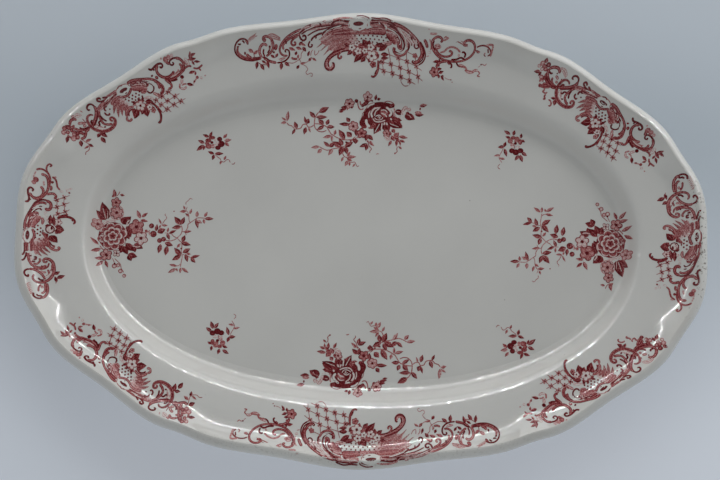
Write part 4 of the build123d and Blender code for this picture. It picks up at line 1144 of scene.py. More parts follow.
def draw_long_blossoms(drawing):
    """Small flowers, buds and trailing leaves about the rose of the long spray."""
    drawing.flower((-8.7, 7.4), 2.9, 0.3, 0.75, petals=6, facing=12.0)
    drawing.flower((-6.2, -5.6), 3.0, 0.3, 0.7, petals=6, facing=40.0)
    drawing.flower((1.5, 11.2), 2.7, 0.22, 0.55, facing=90.0)
    drawing.flower((-1.4, -9.6), 3.0, 0.5, 0.9, facing=20.0)
    drawing.disc((-8.7, 7.4), 0.75, 1.0, sides=9)
    drawing.disc((-6.2, -5.6), 0.75, 1.0, sides=9)
    drawing.disc((-1.4, -9.6), 0.85, 1.0, sides=9)
    drawing.disc((-4.8, 9.0), 1.1, 0.95)
    drawing.disc((-1.2, 6.6), 1.0, 0.95)
    drawing.ribbons([(0.6, (-4.0, 8.2), (-3.8, 6.4), (-3.0, 4.6), (-1.8, 4.2), (-0.6, 4.8)),
                     (0.8, (-2.8, 9.0), (-2.4, 7.4), (-1.8, 6.6))], tone=0.6)
    drawing.leaves(
        ((-1.4, 6.4), (2.6, 9.2), 2.2), ((5.8, 9.6), (6.4, 12.6), 1.6), ((6.8, 10.0), (8.9, 10.6), 1.4),
        ((0.6, 8.0), (1.4, 10.6), 1.6), ((3.4, 9.4), (4.8, 9.2), 1.0), ((-4.8, -12.6), (-4.6, -15.8), 2.8),
        ((-5.6, -12.6), (-6.0, -14.6), 1.4), ((2.0, -10.4), (5.2, -13.4), 2.2),
        ((1.6, -10.0), (1.0, -14.0), 2.2), ((-4.4, -7.4), (-4.4, -11.4), 2.0),
        ((2.1, -15.6), (-2.5, -17.5), 2.0), ((2.0, -16.0), (1.1, -19.5), 1.9),
        ((-8.2, -3.2), (-10.2, -0.6), 2.2), ((-8.2, -4.6), (-14.4, -4.5), 2.0),
        ((-6.8, 6.0), (-7.6, 4.6), 1.2), ((-10.2, 4.4), (-14.6, 3.4), 1.5),
        ((-10.0, 5.2), (-13.6, 5.2), 1.7), ((-12.0, 2.8), (-14.8, 2.4), 1.1),
        tone=0.93)
    drawing.leaves(((2.8, -14.2), (5.9, -16.8), 1.5), ((3.4, -13.8), (4.4, -15.2), 1.2),
                   ((-9.6, 5.4), (-9.8, 3.6), 0.9), ((1.8, -13.4), (2.6, -15.0), 1.0), tone=0.6)
    drawing.ribbons([
        (0.4, (2.4, -14.0), (2.9, -16.6), (3.8, -17.6), (4.4, -18.6), (3.4, -19.8), (3.6, -20.8)),
        (0.4, (-4.8, -11.6), (-6.2, -12.8), (-7.2, -14.4)), (0.4, (-2.4, -11.8), (-5.2, -12.6)),
    ], tone=0.6)
    drawing.flower((12.8, -9.4), 2.4, 0.35, 0.85, facing=15.0)
    drawing.ribbon([(11.6, -11.0), (13.4, -12.4), (15.8, -12.6)], (1.4, 1.8, 1.2), 0.45)
    drawing.leaves(
        ((16.8, -11.6), (19.6, -8.6), 2.8), ((16.6, -11.2), (19.8, -11.6), 2.6),
        ((15.4, -10.4), (17.2, -13.6), 2.2), ((15.6, -6.6), (17.4, -8.8), 2.2),
        ((14.4, -8.6), (15.2, -10.4), 1.6), ((19.6, -10.8), (24.7, -11.6), 1.8),
        ((20.2, -12.9), (23.2, -14.2), 1.5), ((18.6, -12.6), (18.2, -16.7), 1.6),
        ((15.6, -13.4), (13.8, -16.6), 1.5), ((20.2, -13.4), (20.6, -16.2), 1.0),
        ((19.8, -16.6), (21.4, -18.2), 1.2), ((18.8, -12.0), (19.8, -14.2), 1.6),
        tone=0.75)
    drawing.ribbons([(0.45, (18.8, -16.8), (18.6, -18.4), (18.8, -19.6), (17.6, -20.8)),
                     (0.4, (18.9, -17.0), (19.8, -16.6))], tone=0.6)
    drawing.disc((17.6, -20.7), 0.5, 0.7)
    drawing.ribbons([(0.5, (7.0, -21.6), (7.8, -21.1), (8.8, -21.2))], tone=0.45)
    drawing.disc((19.4, 3.2), (2.2, 1.7), 1.0, facing=-20.0, sides=14)
    drawing.ribbons([(0.7, (16.4, 5.6), (16.9, 4.2), (16.7, 1.6), (18.2, 0.6)),
                     (0.4, (18.0, 3.6), (19.8, 3.4))], 0.35)
    drawing.ribbon([(20.8, 1.6), (21.8, 4.4), (23.2, 6.2), (24.4, 4.8), (25.4, 5.2), (25.6, 3.8)],
                   (1.1, 1.6, 1.0, 1.4, 1.0), 0.5)
    drawing.ribbons([
        (0.8, (21.6, 2.0), (23.0, 4.2)), (0.9, (17.4, 1.0), (19.4, 0.4), (21.4, 1.0)),
    ], tone=0.08)
    drawing.disc((25.2, 0.7), (2.6, 2.1), 0.85, 1.0, facing=-15.0, sides=16)
    drawing.leaves(((25.4, 1.0), (28.4, -0.8), 2.6), ((24.0, 1.6), (24.6, 3.8), 2.0), tone=0.95)
    drawing.ribbons([(0.3, (23.6, 1.8), (25.4, 1.4), (26.4, -0.2))], tone=0.3)
    drawing.leaf((28.4, 2.0), (33.5, 2.0), 2.2, 0.9)
    drawing.disc((30.2, 3.2), (1.9, 0.9), 0.35, 0.5)
    drawing.leaf((30.9, 7.0), (35.3, 7.7), 1.9, 0.75)
    drawing.ribbon([(31.4, 6.2), (31.2, 4.6)], 0.8, 0.9)


def draw_long_spray(drawing):
    """The spray by each long side of the well."""
    draw_long_vine(drawing)
    draw_long_rose(drawing)
    draw_long_blossoms(drawing)


def draw_round_flowers(drawing):
    """The open rose of the round spray, with the flowers and leaves that ring it."""
    drawing.leaves(
        ((-27.6, 5.6), (-30.4, 15.0), 4.6), ((-28.0, 5.2), (-33.2, 9.8), 3.8),
        ((-26.8, 5.8), (-27.6, 12.4), 3.0), ((-18.8, 3.0), (-14.0, 7.4), 4.0),
        ((-19.4, 3.6), (-17.2, 7.2), 3.0), ((-16.6, 1.6), (-13.4, -1.0), 3.4),
        ((-17.8, 0.6), (-14.4, -5.6), 3.6), ((-15.8, 1.0), (-13.6, -4.4), 3.0),
        ((-18.0, -9.2), (-19.0, -13.4), 3.4), ((-17.6, -9.4), (-15.0, -14.2), 3.2),
        ((-16.4, -7.8), (-12.0, -12.2), 3.4), ((-14.8, -14.0), (-9.6, -15.4), 3.0),
        ((-14.6, -14.2), (-12.8, -17.8), 3.0), ((-11.6, -8.0), (-6.6, -10.6), 3.2),
        ((-12.4, -8.6), (-10.8, -12.8), 3.0),
        tone=1.0)
    drawing.ribbon([(-31.6, 3.2), (-29.6, 2.0), (-27.0, 3.6), (-22.4, 5.2)], (1.6, 3.0, 2.6, 1.4), 0.35)
    draw_rose(drawing, (-23.8, -4.0), 7.7)
    drawing.flower((-22.2, 9.4), 3.6, 0.32, 0.85, petals=6, facing=20.0)
    drawing.ring((-22.2, 9.4), 3.9, 0.6, 0.35)
    drawing.flower((-22.8, 15.2), 2.9, 0.4, 0.85, facing=10.0)
    drawing.flower((-32.4, 2.4), 3.2, 0.28, 0.5, facing=60.0)
    drawing.flower((-27.0, -14.6), 3.4, 0.35, 0.8, facing=100.0)
    drawing.flower((-21.2, -13.6), 2.2, 0.1, 0.85, petals=4, facing=40.0)
    drawing.flower((-10.8, 1.6), 4.3, 0.42, 0.75, facing=30.0)
    drawing.flower((-8.0, -4.8), 3.9, 0.12, 0.65, facing=52.0)
    drawing.disc((-8.0, -4.8), 0.8, 1.0, sides=9)
    drawing.disc((-32.0, 2.4), 0.7, 1.0, sides=9)
    drawing.disc((-26.6, -15.0), 0.7, 1.0, sides=9)
    drawing.ribbons([
        (0.7, (-16.2, 2.2), (-16.0, 4.0), (-14.8, 5.6)), (0.7, (-17.0, 0.2), (-16.2, -2.0), (-16.8, -4.0)),
        (0.35, (-28.2, 6.0), (-30.0, 11.6)), (0.35, (-27.2, 6.2), (-27.2, 10.4)),
        (0.6, (-12.6, -9.2), (-9.6, -9.8), (-8.2, -9.2)),
    ], tone=0.2)
    drawing.leaves(
        ((-23.4, 18.2), (-24.4, 22.8), 1.9), ((-23.4, 19.6), (-25.4, 18.2), 1.5),
        ((-20.8, 19.8), (-18.2, 19.2), 1.3), ((-31.4, -9.0), (-35.6, -5.8), 1.7),
        ((-30.0, -11.2), (-35.0, -13.4), 2.0), ((-28.6, -16.6), (-33.0, -17.1), 1.9),
        ((-28.4, -18.0), (-32.0, -21.6), 1.9), ((-27.4, -17.8), (-25.6, -21.9), 1.7),
        ((-8.8, 6.4), (-11.0, 11.2), 2.0), ((-8.2, 7.2), (-4.8, 9.8), 1.6), ((-8.8, 5.6), (-4.4, 4.9), 1.6),
        ((-6.0, 0.0), (-4.2, -1.4), 1.6),
        tone=0.72)
    drawing.ribbons([
        (0.4, (-23.0, 18.6), (-21.6, 20.0), (-21.0, 21.6)),
        (0.5, (-31.0, -3.8), (-32.0, -5.6), (-31.2, -7.2)),
        (0.5, (-30.8, -9.4), (-29.6, -11.0), (-28.4, -12.0)),
        (0.4, (-22.2, -16.6), (-20.4, -18.2), (-18.8, -19.8), (-18.2, -22.2), (-16.6, -24.4)),
        (0.35, (-23.4, -16.4), (-22.6, -18.0), (-22.0, -19.6)),
    ], tone=0.6)
    for centre, radius in (((-22.2, -20.8), 1.4), ((-20.2, -20.4), 1.2), ((-18.6, -23.6), 1.3),
                           ((-16.4, -26.2), 1.1)):
        drawing.disc(centre, radius, 0.65)
        drawing.disc(centre, radius * 0.6, 0.25)
    drawing.disc((-22.0, -19.6), 0.6, 0.95)


def draw_round_trail(drawing):
    """The trail of buds and small leaves on the round spray's other side."""
    drawing.ribbons([
        (0.45, (-8.0, -0.8), (-5.8, -1.6), (-4.0, -0.8), (-3.2, 0.0)),
        (0.45, (5.6, -5.4), (8.0, -5.9), (10.6, -5.2), (12.6, -3.6), (14.2, -1.8), (14.8, 0.6),
         (14.3, 3.2)),
        (0.4, (5.0, -1.4), (8.4, -1.7), (10.2, -3.2), (12.4, -4.4), (14.2, -6.2), (16.4, -6.8)),
        (0.4, (14.8, -0.6), (16.6, 0.0), (17.8, 2.0), (17.9, 3.8), (19.2, 4.8), (20.6, 5.8), (22.2, 7.0),
         (23.4, 7.6), (26.0, 7.6), (27.6, 7.4)),
        (0.35, (19.2, 4.6), (18.4, 6.2), (18.2, 8.6), (17.4, 10.8), (16.4, 11.8), (17.2, 13.8)),
        (0.35, (16.4, 14.8), (16.3, 16.2), (17.6, 17.4), (18.6, 18.6), (19.9, 18.0)),
        (0.35, (3.2, 2.8), (4.6, 5.4), (5.8, 6.8), (5.6, 8.0), (4.8, 8.8), (5.2, 9.6)),
        (0.4, (14.9, -6.8), (15.0, -9.2), (14.7, -11.4), (15.4, -14.6), (15.0, -17.6), (14.6, -20.4)),
        (0.35, (15.4, -13.2), (17.6, -14.0), (20.2, -15.0)),
        (0.35, (14.8, -18.6), (13.4, -19.8), (11.6, -19.8)),
        (0.35, (16.4, -0.6), (17.2, -2.4)),
    ], tone=0.5)
    for centre, radius in (((-2.4, 2.4), 1.7), ((-1.2, -2.2), 2.2), ((4.6, -5.0), 1.6), ((2.4, -5.8), 1.6)):
        drawing.disc(centre, radius * 0.85, 0.35, 1.0, sides=14)
        drawing.disc((centre[0] + 0.3, centre[1] - 0.2), radius * 0.3, 0.9, sides=9)
    drawing.ribbon([(-3.8, -0.6), (-3.4, -2.0), (-2.4, -3.2)], (0.6, 0.9, 0.5), 0.4)
    drawing.leaves(
        ((1.0, -1.2), (4.9, 0.5), 2.6), ((0.2, -0.6), (0.6, 2.9), 1.6), ((6.4, -1.6), (7.8, -4.8), 1.5),
        ((7.4, -1.6), (11.0, 0.0), 1.3), ((5.4, -7.0), (9.4, -8.3), 2.1), ((6.8, -8.8), (6.1, -13.5), 2.2),
        ((3.2, -7.8), (2.2, -12.4), 2.1), ((14.0, 3.4), (10.6, 7.4), 2.4), ((14.2, 3.6), (15.6, 7.4), 1.9),
        ((14.2, 2.4), (9.6, 1.6), 2.0), ((14.4, -6.6), (19.2, -7.8), 2.0),
        ((15.0, -6.2), (16.3, -2.9), 1.9), ((14.6, -13.9), (11.2, -10.2), 2.2),
        ((14.6, -13.9), (10.4, -16.4), 2.1), ((15.6, -12.4), (19.2, -10.2), 2.0),
        ((17.2, -13.0), (18.3, -17.0), 1.7), ((20.2, -15.0), (24.6, -13.8), 1.4),
        ((20.2, -15.1), (22.5, -17.5), 1.7), ((27.0, 7.3), (31.5, 7.3), 1.6),
        ((22.2, 7.0), (23.4, 2.2), 1.6),
        tone=0.85, growth=1.15)
    drawing.leaves(
        ((12.6, -20.1), (8.9, -19.3), 1.3), ((12.4, -21.4), (8.4, -23.6), 1.5),
        ((14.8, -20.8), (14.6, -23.6), 1.2), ((15.4, -20.9), (18.8, -23.3), 1.4),
        ((22.6, 8.0), (22.8, 11.0), 1.6), ((26.8, 8.2), (28.3, 10.8), 1.3), ((26.6, 7.0), (27.0, 4.6), 1.3),
        ((22.8, 6.2), (25.4, 4.8), 1.5), ((18.6, 9.6), (19.5, 12.4), 1.2),
        ((16.6, 11.2), (13.4, 10.9), 1.4), ((15.8, 12.2), (15.0, 14.1), 1.0),
        ((18.4, 8.2), (16.4, 9.8), 1.1), ((15.6, -0.6), (19.5, -0.1), 1.3),
        ((17.6, -12.6), (19.8, -13.1), 1.1), ((14.2, -7.2), (12.4, -9.4), 1.2),
        ((3.0, 3.4), (1.5, 6.4), 0.9), ((3.2, 3.0), (6.2, 2.8), 1.1), ((2.8, 3.0), (2.0, 1.4), 0.9),
        ((6.6, -1.0), (7.0, 1.4), 1.1), ((12.6, -21.2), (13.0, -22.8), 0.9),
        tone=0.62, growth=1.15)
    drawing.disc((14.7, -10.1), 0.55, 0.8)
    drawing.disc((9.8, 11.0), 0.4, 0.6)


def draw_round_spray(drawing):
    """The spray by each end of the well."""
    draw_round_flowers(drawing)
    draw_round_trail(drawing)


def draw_pansy_sprig(drawing):
    """A sprig with an open flower beside a dark half-closed one, and a tendril to the right."""
    drawing.leaves(
        ((-3.0, 6.2), (-6.7, 7.6), 1.6), ((-2.8, 6.0), (-1.3, 9.6), 1.5), ((-5.4, 2.6), (-9.2, 4.2), 1.8),
        ((-5.6, 1.6), (-9.8, -1.9), 2.1), ((-5.0, 1.2), (-6.1, -1.5), 1.2), ((0.2, -3.5), (-3.4, -2.1), 1.6),
        ((0.6, -3.3), (5.5, -3.1), 1.8), ((0.2, -3.8), (-0.6, -7.0), 1.7), tone=0.88)
    drawing.leaves(
        ((5.0, 5.8), (7.2, 8.4), 1.5), ((5.6, 4.4), (9.7, 5.0), 1.8), ((6.0, 3.6), (8.5, 1.1), 1.7),
        ((5.8, -6.8), (7.0, -4.3), 1.2), ((4.4, -7.3), (3.7, -9.5), 1.2), tone=0.68)
    for centre, radii, tone in (((-3.4, 4.2), (1.7, 1.3), 0.7), ((-1.3, 5.9), (1.8, 1.1), 0.65),
                                ((-2.9, 0.9), (1.9, 1.5), 0.62), ((-0.6, 1.0), (1.1, 1.3), 0.4),
                                ((-4.0, 2.6), (1.2, 1.1), 0.6), ((1.0, 1.6), (1.2, 1.1), 0.1),
                                ((1.2, 4.6), (1.2, 1.0), 0.12), ((3.0, 5.2), (1.5, 1.4), 0.92),
                                ((4.0, 2.4), (2.0, 1.9), 0.96), ((2.2, 0.2), (1.6, 1.3), 0.95)):
        drawing.disc(centre, radii, tone, tone + 0.12)
    drawing.disc((-1.3, 3.1), (0.9, 0.85), 1.0)
    drawing.ribbon([(0.8, 3.2), (2.0, 2.6), (2.8, 3.8)], (0.5, 0.7, 0.4), 0.25)
    drawing.ribbons([(0.35, (0.8, -3.8), (2.6, -5.4), (3.8, -6.2), (4.2, -7.4)),
                     (0.35, (4.2, -7.2), (5.8, -8.0), (7.4, -6.6), (8.6, -6.6), (9.5, -8.2)),
                     (0.4, (10.2, -8.9), (11.4, -9.0), (12.2, -7.8))], tone=0.55)


def draw_rose_sprig(drawing):
    """A sprig with a dark flower below an open one, and a tendril to the left."""
    drawing.leaves(
        ((-1.0, 6.6), (-4.6, 8.8), 1.8), ((0.6, 6.0), (1.5, 9.2), 1.7), ((-0.8, 4.4), (-3.8, 5.4), 1.5),
        ((4.9, 4.5), (5.3, 7.4), 1.5), ((5.2, 3.6), (7.4, 2.3), 1.4), ((-4.2, -0.5), (-8.0, -0.9), 1.8),
        ((-4.6, -0.8), (-3.4, 2.4), 1.7), ((-4.2, -1.6), (-2.9, -6.3), 1.8), ((5.4, -3.4), (8.5, -5.6), 1.9),
        ((4.6, -4.9), (6.0, -9.2), 2.0), ((4.0, -5.2), (1.6, -8.4), 1.8), tone=0.86)
    drawing.leaves(((-6.6, -5.4), (-10.2, -6.1), 1.3), ((-7.0, -7.0), (-3.8, -7.8), 1.4), tone=0.55)
    for centre, radii, tone in (((-1.0, 2.8), (1.5, 1.5), 0.5), ((0.6, 4.7), (1.4, 1.1), 0.6),
                                ((2.8, 4.3), (1.5, 1.2), 0.5), ((4.6, 2.4), (1.2, 1.7), 0.6),
                                ((2.4, 2.9), (1.2, 1.0), 0.45), ((0.2, 0.6), (1.2, 1.1), 0.3),
                                ((0.4, -0.8), (1.2, 0.9), 0.08), ((3.4, -0.6), (1.3, 0.9), 0.08),
                                ((0.0, -2.8), (1.7, 1.5), 0.92), ((2.2, -3.6), (1.9, 1.8), 0.96),
                                ((4.8, -2.6), (1.7, 1.5), 0.92)):
        drawing.disc(centre, radii, tone, tone + 0.12)
    drawing.disc((1.9, 1.5), (0.9, 0.8), 1.0)
    drawing.ribbon([(1.6, 0.6), (1.6, -1.8)], 0.3, 0.8)
    drawing.ribbons([
        (0.35, (-4.8, -1.4), (-5.6, -3.2), (-6.6, -5.0), (-7.2, -7.0), (-6.2, -8.8), (-5.6, -9.8)),
        (0.35, (-6.6, -10.6), (-7.7, -11.8), (-7.5, -12.9), (-6.4, -13.6)),
    ], tone=0.5)


# ---- from a drawing to a film of ink on the glaze ------------------------------------------------------
FILM_LIFT = 0.05 * MM              # of the lowest shape's top above the glaze
FILM_DIP = 0.02 * MM               # of every shape's underside into the glaze
LEVEL_STEP = 0.002 * MM            # from each shape's top to that of one drawn over it


def counter_clockwise(faces, plan):
    """The faces, each turned so that it runs counter-clockwise as seen from above."""
    corners = plan[faces]
    following = np.roll(corners, -1, axis=1)
    areas = (corners[:, :, 0] * following[:, :, 1] - corners[:, :, 1] * following[:, :, 0]).sum(axis=1)
    return np.where((areas < 0.0)[:, None], faces[:, ::-1], faces)


def open_edges(faces):
    """Edges that only one face uses, in that face's direction."""
    edges = np.stack([faces, np.roll(faces, -1, axis=1)], axis=2).reshape(-1, 2).tolist()
    used = set(map(tuple, edges))
    return [(start, end) for start, end in edges if (end, start) not in used]


def lay_print(node, drawing, place):
    """Stands in for a CAD film: the drawing's shapes, laid on the body as thin closed slabs."""
    plan = place(np.array(drawing.points))
    tops = counter_clockwise(np.array(drawing.faces), plan)
    count = len(plan)
    heights = FILM_LIFT + np.array(drawing.levels) * LEVEL_STEP
    upper = []
    lower = []
    normals = []
    for (x, y), height in zip(plan.tolist(), heights.tolist()):
        point, normal = surface.below(x, y)
        upper.append(point + normal * height)
        lower.append(point - normal * FILM_DIP)
        normals.append(tuple(normal))
    bottoms = (tops[:, ::-1] + count).tolist()
    sides = [(end, start, start + count, end + count) for start, end in open_edges(tops)]
    faces = bottoms + sides + tops.tolist()

    mesh = bpy.data.meshes.new(node + "_film")
    mesh.from_pydata(upper + lower, [], faces)
    shaded = [tuple(-part for part in normals[corner - count]) for face in bottoms for corner in face]
    shaded += [normals[corner % count] for face in faces[len(bottoms):] for corner in face]
    mesh.shade_smooth()
    mesh.normals_split_custom_set(shaded)
    tone = mesh.attributes.new("tone", "FLOAT", "POINT")
    tone.data.foreach_set("value", np.tile(drawing.tones, 2))
    plan_uv(mesh)
    mesh.materials.append(ink_material)
    piece = bpy.data.objects.new(node + "_film", mesh)
    bpy.context.scene.collection.objects.link(piece)
    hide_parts(node)
    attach(piece, "root")
    return piece


def plan_uv(mesh):
    """Maps a mesh flat as seen from above, for baking its colour."""
    corners = np.array([vertex.co[:2] for vertex in mesh.vertices])
    places = (corners - corners.min(axis=0)) / np.ptp(corners, axis=0)
    loops = [corner for polygon in mesh.polygons for corner in polygon.vertices]
    layer = mesh.uv_layers.new(name="OFBake")
    layer.data.foreach_set("uv", places[loops].ravel())


# ---- materials -----------------------------------------------------------------------------------------
BODY_WHITE = (0.72, 0.71, 0.675)
BODY_SHADE = (0.67, 0.66, 0.628)   # where the glaze has pooled
SPECK_COLOR = (0.16, 0.13, 0.11)
STAIN_COLOR = (0.50, 0.46, 0.38)
WEAR_COLOR = (0.17, 0.14, 0.11)
BARE_COLOR = (0.56, 0.49, 0.40)    # unglazed, on the foot's resting face
STAINED_LIP = (0.0262, 0.0302)     # z where the lip starts to be stained, and where it is stained most
WORN_LIP = (0.0288, 0.0302)        # the same for wear
WORN_END = (0.150, 0.178)          # the same for wear, as x
WORN_BREADTH = (0.018, 0.045)      # distance from the long axis over which the wear at that end fades
WORN_FRONT = (-0.095, -0.125)      # the same for wear, as y
WORN_FRONT_SHARE = 0.25            # of the wear at the end
BARE_FOOT = (0.0003, 0.0006)       # z up to which the foot is bare, and from which it is glazed
GLAZE_ROUGHNESS = (0.045, 0.065)
GLAZE_IOR = 1.52
RIPPLE_DEPTH = 0.04 * MM
BARE_ROUGHNESS = 0.8
INK_SPECULAR = 0.25                # the film of ink shines less than bare glaze
INK_GRAIN = 0.17                   # how far the finest unevenness moves a tone
INK_PATCHES = 0.05                 # the same for slower unevenness
INK_TONES = (                      # tone, colour: from bare glaze to the deepest ink
    (0.0, BODY_WHITE),
    (0.25, (0.63, 0.42, 0.405)),
    (0.5, (0.46, 0.175, 0.17)),
    (0.75, (0.27, 0.045, 0.05)),
    (1.0, (0.12, 0.008, 0.011)),
)


NOISE_RANGE = (0.3, 0.7)           # where nearly all values of a noise lie
POOLED_NOISE = (0.35, 0.7)         # of a slow noise, from even glaze to pooled glaze
BLOTCH_NOISE = (0.45, 0.7)         # from a clean lip to a stain
PIT_NOISE = (0.57, 0.63)           # of a fine noise, from sound glaze to a pit
STAIN_STRENGTH = 0.2
WEAR_STRENGTH = 0.8
SPECK_CELLS = 70.0                 # to a metre, each with room for one speck
SPECK_CHANCE = 0.62                # a cell has a speck if its random colour is above this
SPECK_REACH = (0.014, 0.03)        # in cells, from a speck's middle to where it fades and to its edge
SPECK_STRENGTH = 0.55
INKED_TONES = (0.02, 0.12)         # from bare, even glaze to ink of uneven strength


def make_material(name):
    """An empty node material, with its tree and its surface shader."""
    material = bpy.data.materials.new(name)
    material.use_nodes = True
    return material, material.node_tree, material.node_tree.nodes["Principled BSDF"]


def add_node(tree, kind, settings=None, **inputs):
    """Adds a node. Inputs are values or other nodes' sockets, by their names with spaces as underscores."""
    node = tree.nodes.new(kind)
    for key, value in (settings or {}).items():
        setattr(node, key, value)
    for key, value in inputs.items():
        socket = node.inputs[key.replace("_", " ")]
        if isinstance(value, bpy.types.NodeSocket):
            tree.links.new(value, socket)
        else:
            socket.default_value = value
    return node


def noise(tree, place, scale, detail=2.0):
    """Soft noise with about `scale` features to a metre."""
    return add_node(tree, "ShaderNodeTexNoise", Vector=place, Scale=scale, Detail=detail).outputs["Fac"]


def remap(tree, value, low, high, new_low=0.0, new_high=1.0, easing="LINEAR"):
    """A value's range from low to high, moved to a new range and held there."""
    node = add_node(tree, "ShaderNodeMapRange", {"interpolation_type": easing}, Value=value)
    for socket, number in zip(node.inputs[1:5], (low, high, new_low, new_high)):
        socket.default_value = number
    return node.outputs[0]


def calculate(tree, operation, *values):
    """One operation of arithmetic on numbers or sockets."""
    node = add_node(tree, "ShaderNodeMath", {"operation": operation})
    for socket, value in zip(node.inputs, values):
        if isinstance(value, bpy.types.NodeSocket):
            tree.links.new(value, socket)
        else:
            socket.default_value = value
    return node.outputs[0]


def mix_color(tree, factor, first, second):
    """From the first colour to the second. Each may be a tuple or a socket, and so may the factor."""
    node = add_node(tree, "ShaderNodeMix", {"data_type": "RGBA"})
    for socket, value in zip((node.inputs[0], node.inputs[6], node.inputs[7]), (factor, first, second)):
        if isinstance(value, bpy.types.NodeSocket):
            tree.links.new(value, socket)
        elif isinstance(value, tuple):
            socket.default_value = (*value, 1.0)
        else:
            socket.default_value = value
    return node.outputs[2]


def glaze_finish(tree, shader, place):
    """The glossy glaze over everything, with a faint ripple in its shine. Returns its roughness."""
    waves = noise(tree, place, scale=190.0, detail=3.0)
    ripple = add_node(tree, "ShaderNodeBump", Strength=0.12, Distance=RIPPLE_DEPTH, Height=waves)
    tree.links.new(ripple.outputs[0], shader.inputs["Normal"])
    roughness = remap(tree, noise(tree, place, scale=35.0), *NOISE_RANGE, *GLAZE_ROUGHNESS)
    tree.links.new(roughness, shader.inputs["Roughness"])
    shader.inputs["IOR"].default_value = GLAZE_IOR
    return roughness


def lip_wear(tree, place):
    """How worn the lip is: pits that crowd at one end, with a few along the front."""
    plan = add_node(tree, "ShaderNodeSeparateXYZ", Vector=place).outputs
    aside = calculate(tree, "ABSOLUTE", plan["Y"])
    mid_end = remap(tree, aside, *WORN_BREADTH, 1.0, 0.0)
    at_end = calculate(tree, "MULTIPLY", remap(tree, plan["X"], *WORN_END), mid_end)
    at_front = remap(tree, plan["Y"], *WORN_FRONT, 0.0, WORN_FRONT_SHARE)
    pits = remap(tree, noise(tree, place, scale=700.0), *PIT_NOISE, 0.0, WEAR_STRENGTH)
    wear = calculate(tree, "MULTIPLY", pits, calculate(tree, "MAXIMUM", at_end, at_front))
    return calculate(tree, "MULTIPLY", wear, remap(tree, plan["Z"], *WORN_LIP))


def make_glaze():
    """Off-white glazed china, with specks, a stained and worn lip, and a bare foot."""
    material, tree, shader = make_material("glazed_china")
    place = add_node(tree, "ShaderNodeTexCoord").outputs["Object"]
    height = add_node(tree, "ShaderNodeSeparateXYZ", Vector=place).outputs["Z"]
    clouds = remap(tree, noise(tree, place, scale=14.0, detail=4.0), *POOLED_NOISE)
    color = mix_color(tree, clouds, BODY_WHITE, BODY_SHADE)

    specks = add_node(tree, "ShaderNodeTexVoronoi", Vector=place, Scale=SPECK_CELLS)
    seldom = calculate(tree, "GREATER_THAN", specks.outputs["Color"], SPECK_CHANCE)
    spot = remap(tree, specks.outputs["Distance"], *SPECK_REACH, SPECK_STRENGTH, 0.0)
    color = mix_color(tree, calculate(tree, "MULTIPLY", spot, seldom), color, SPECK_COLOR)

    blotches = remap(tree, noise(tree, place, scale=26.0, detail=4.0), *BLOTCH_NOISE, 0.0, STAIN_STRENGTH)
    stain = calculate(tree, "MULTIPLY", remap(tree, height, *STAINED_LIP), blotches)
    color = mix_color(tree, stain, color, STAIN_COLOR)
    color = mix_color(tree, lip_wear(tree, place), color, WEAR_COLOR)

    bare = remap(tree, height, *BARE_FOOT, 1.0, 0.0)
    color = mix_color(tree, bare, color, BARE_COLOR)
    tree.links.new(color, shader.inputs["Base Color"])
    glossy = glaze_finish(tree, shader, place)
    dull = calculate(tree, "MULTIPLY", bare, BARE_ROUGHNESS)
    tree.links.new(calculate(tree, "MAXIMUM", glossy, dull), shader.inputs["Roughness"])
    return material


def make_ink():
    """Transfer ink under the glaze: its colour follows the tone stored on the print's points."""
    material, tree, shader = make_material("print_ink")
    place = add_node(tree, "ShaderNodeTexCoord").outputs["Object"]
    tone = add_node(tree, "ShaderNodeAttribute", {"attribute_name": "tone"}).outputs["Fac"]
    grain = remap(tree, noise(tree, place, scale=1300.0, detail=1.0), *NOISE_RANGE, -INK_GRAIN, INK_GRAIN)
    patches = remap(tree, noise(tree, place, scale=160.0), *NOISE_RANGE, -INK_PATCHES, INK_PATCHES)
    uneven = calculate(tree, "ADD", grain, patches)
    inked = remap(tree, tone, *INKED_TONES)
    tone = calculate(tree, "ADD", tone, calculate(tree, "MULTIPLY", uneven, inked))
    ramp = add_node(tree, "ShaderNodeValToRGB", Fac=tone)
    elements = ramp.color_ramp.elements
    while len(elements) < len(INK_TONES):
        elements.new(0.5)
    for element, (position, color) in zip(elements, INK_TONES):
        element.position = position
        element.color = (*color, 1.0)
    tree.links.new(ramp.outputs["Color"], shader.inputs["Base Color"])
    glaze_finish(tree, shader, place)
    shader.inputs["Specular IOR Level"].default_value = INK_SPECULAR
    return material


# ---- the platter and its prints ------------------------------------------------------------------------
surface = Surface(BODY.data)
guide = RimGuide(surface)
glaze_material = make_glaze()
ink_material = make_ink()

BODY.data.materials.clear()
BODY.data.materials.append(glaze_material)

# Border prints: node, angle of its lobe's middle, how the print was laid off it (along, inward), drawing.
BORDER_PRINTS = (
    ("border_print_top", 90.0, (0.0, 0.0), draw_large_border),
    ("border_print_bottom", 270.0, (-3.2, -1.5), draw_large_border),
    ("border_print_upper_left", 139.0, (0.0, 0.0), draw_medium_leafy),
    ("border_print_lower_left", 221.0, (-3.0, 0.2), draw_medium_leafy),
    ("border_print_upper_right", 41.0, (4.6, 1.0), draw_medium_curled),
    ("border_print_lower_right", 319.0, (1.5, -0.3), draw_medium_curled),
    ("border_print_left", 180.0, (0.0, 0.0), draw_small_border),
    ("border_print_right", 0.0, (0.0, -0.7), draw_small_border),
)
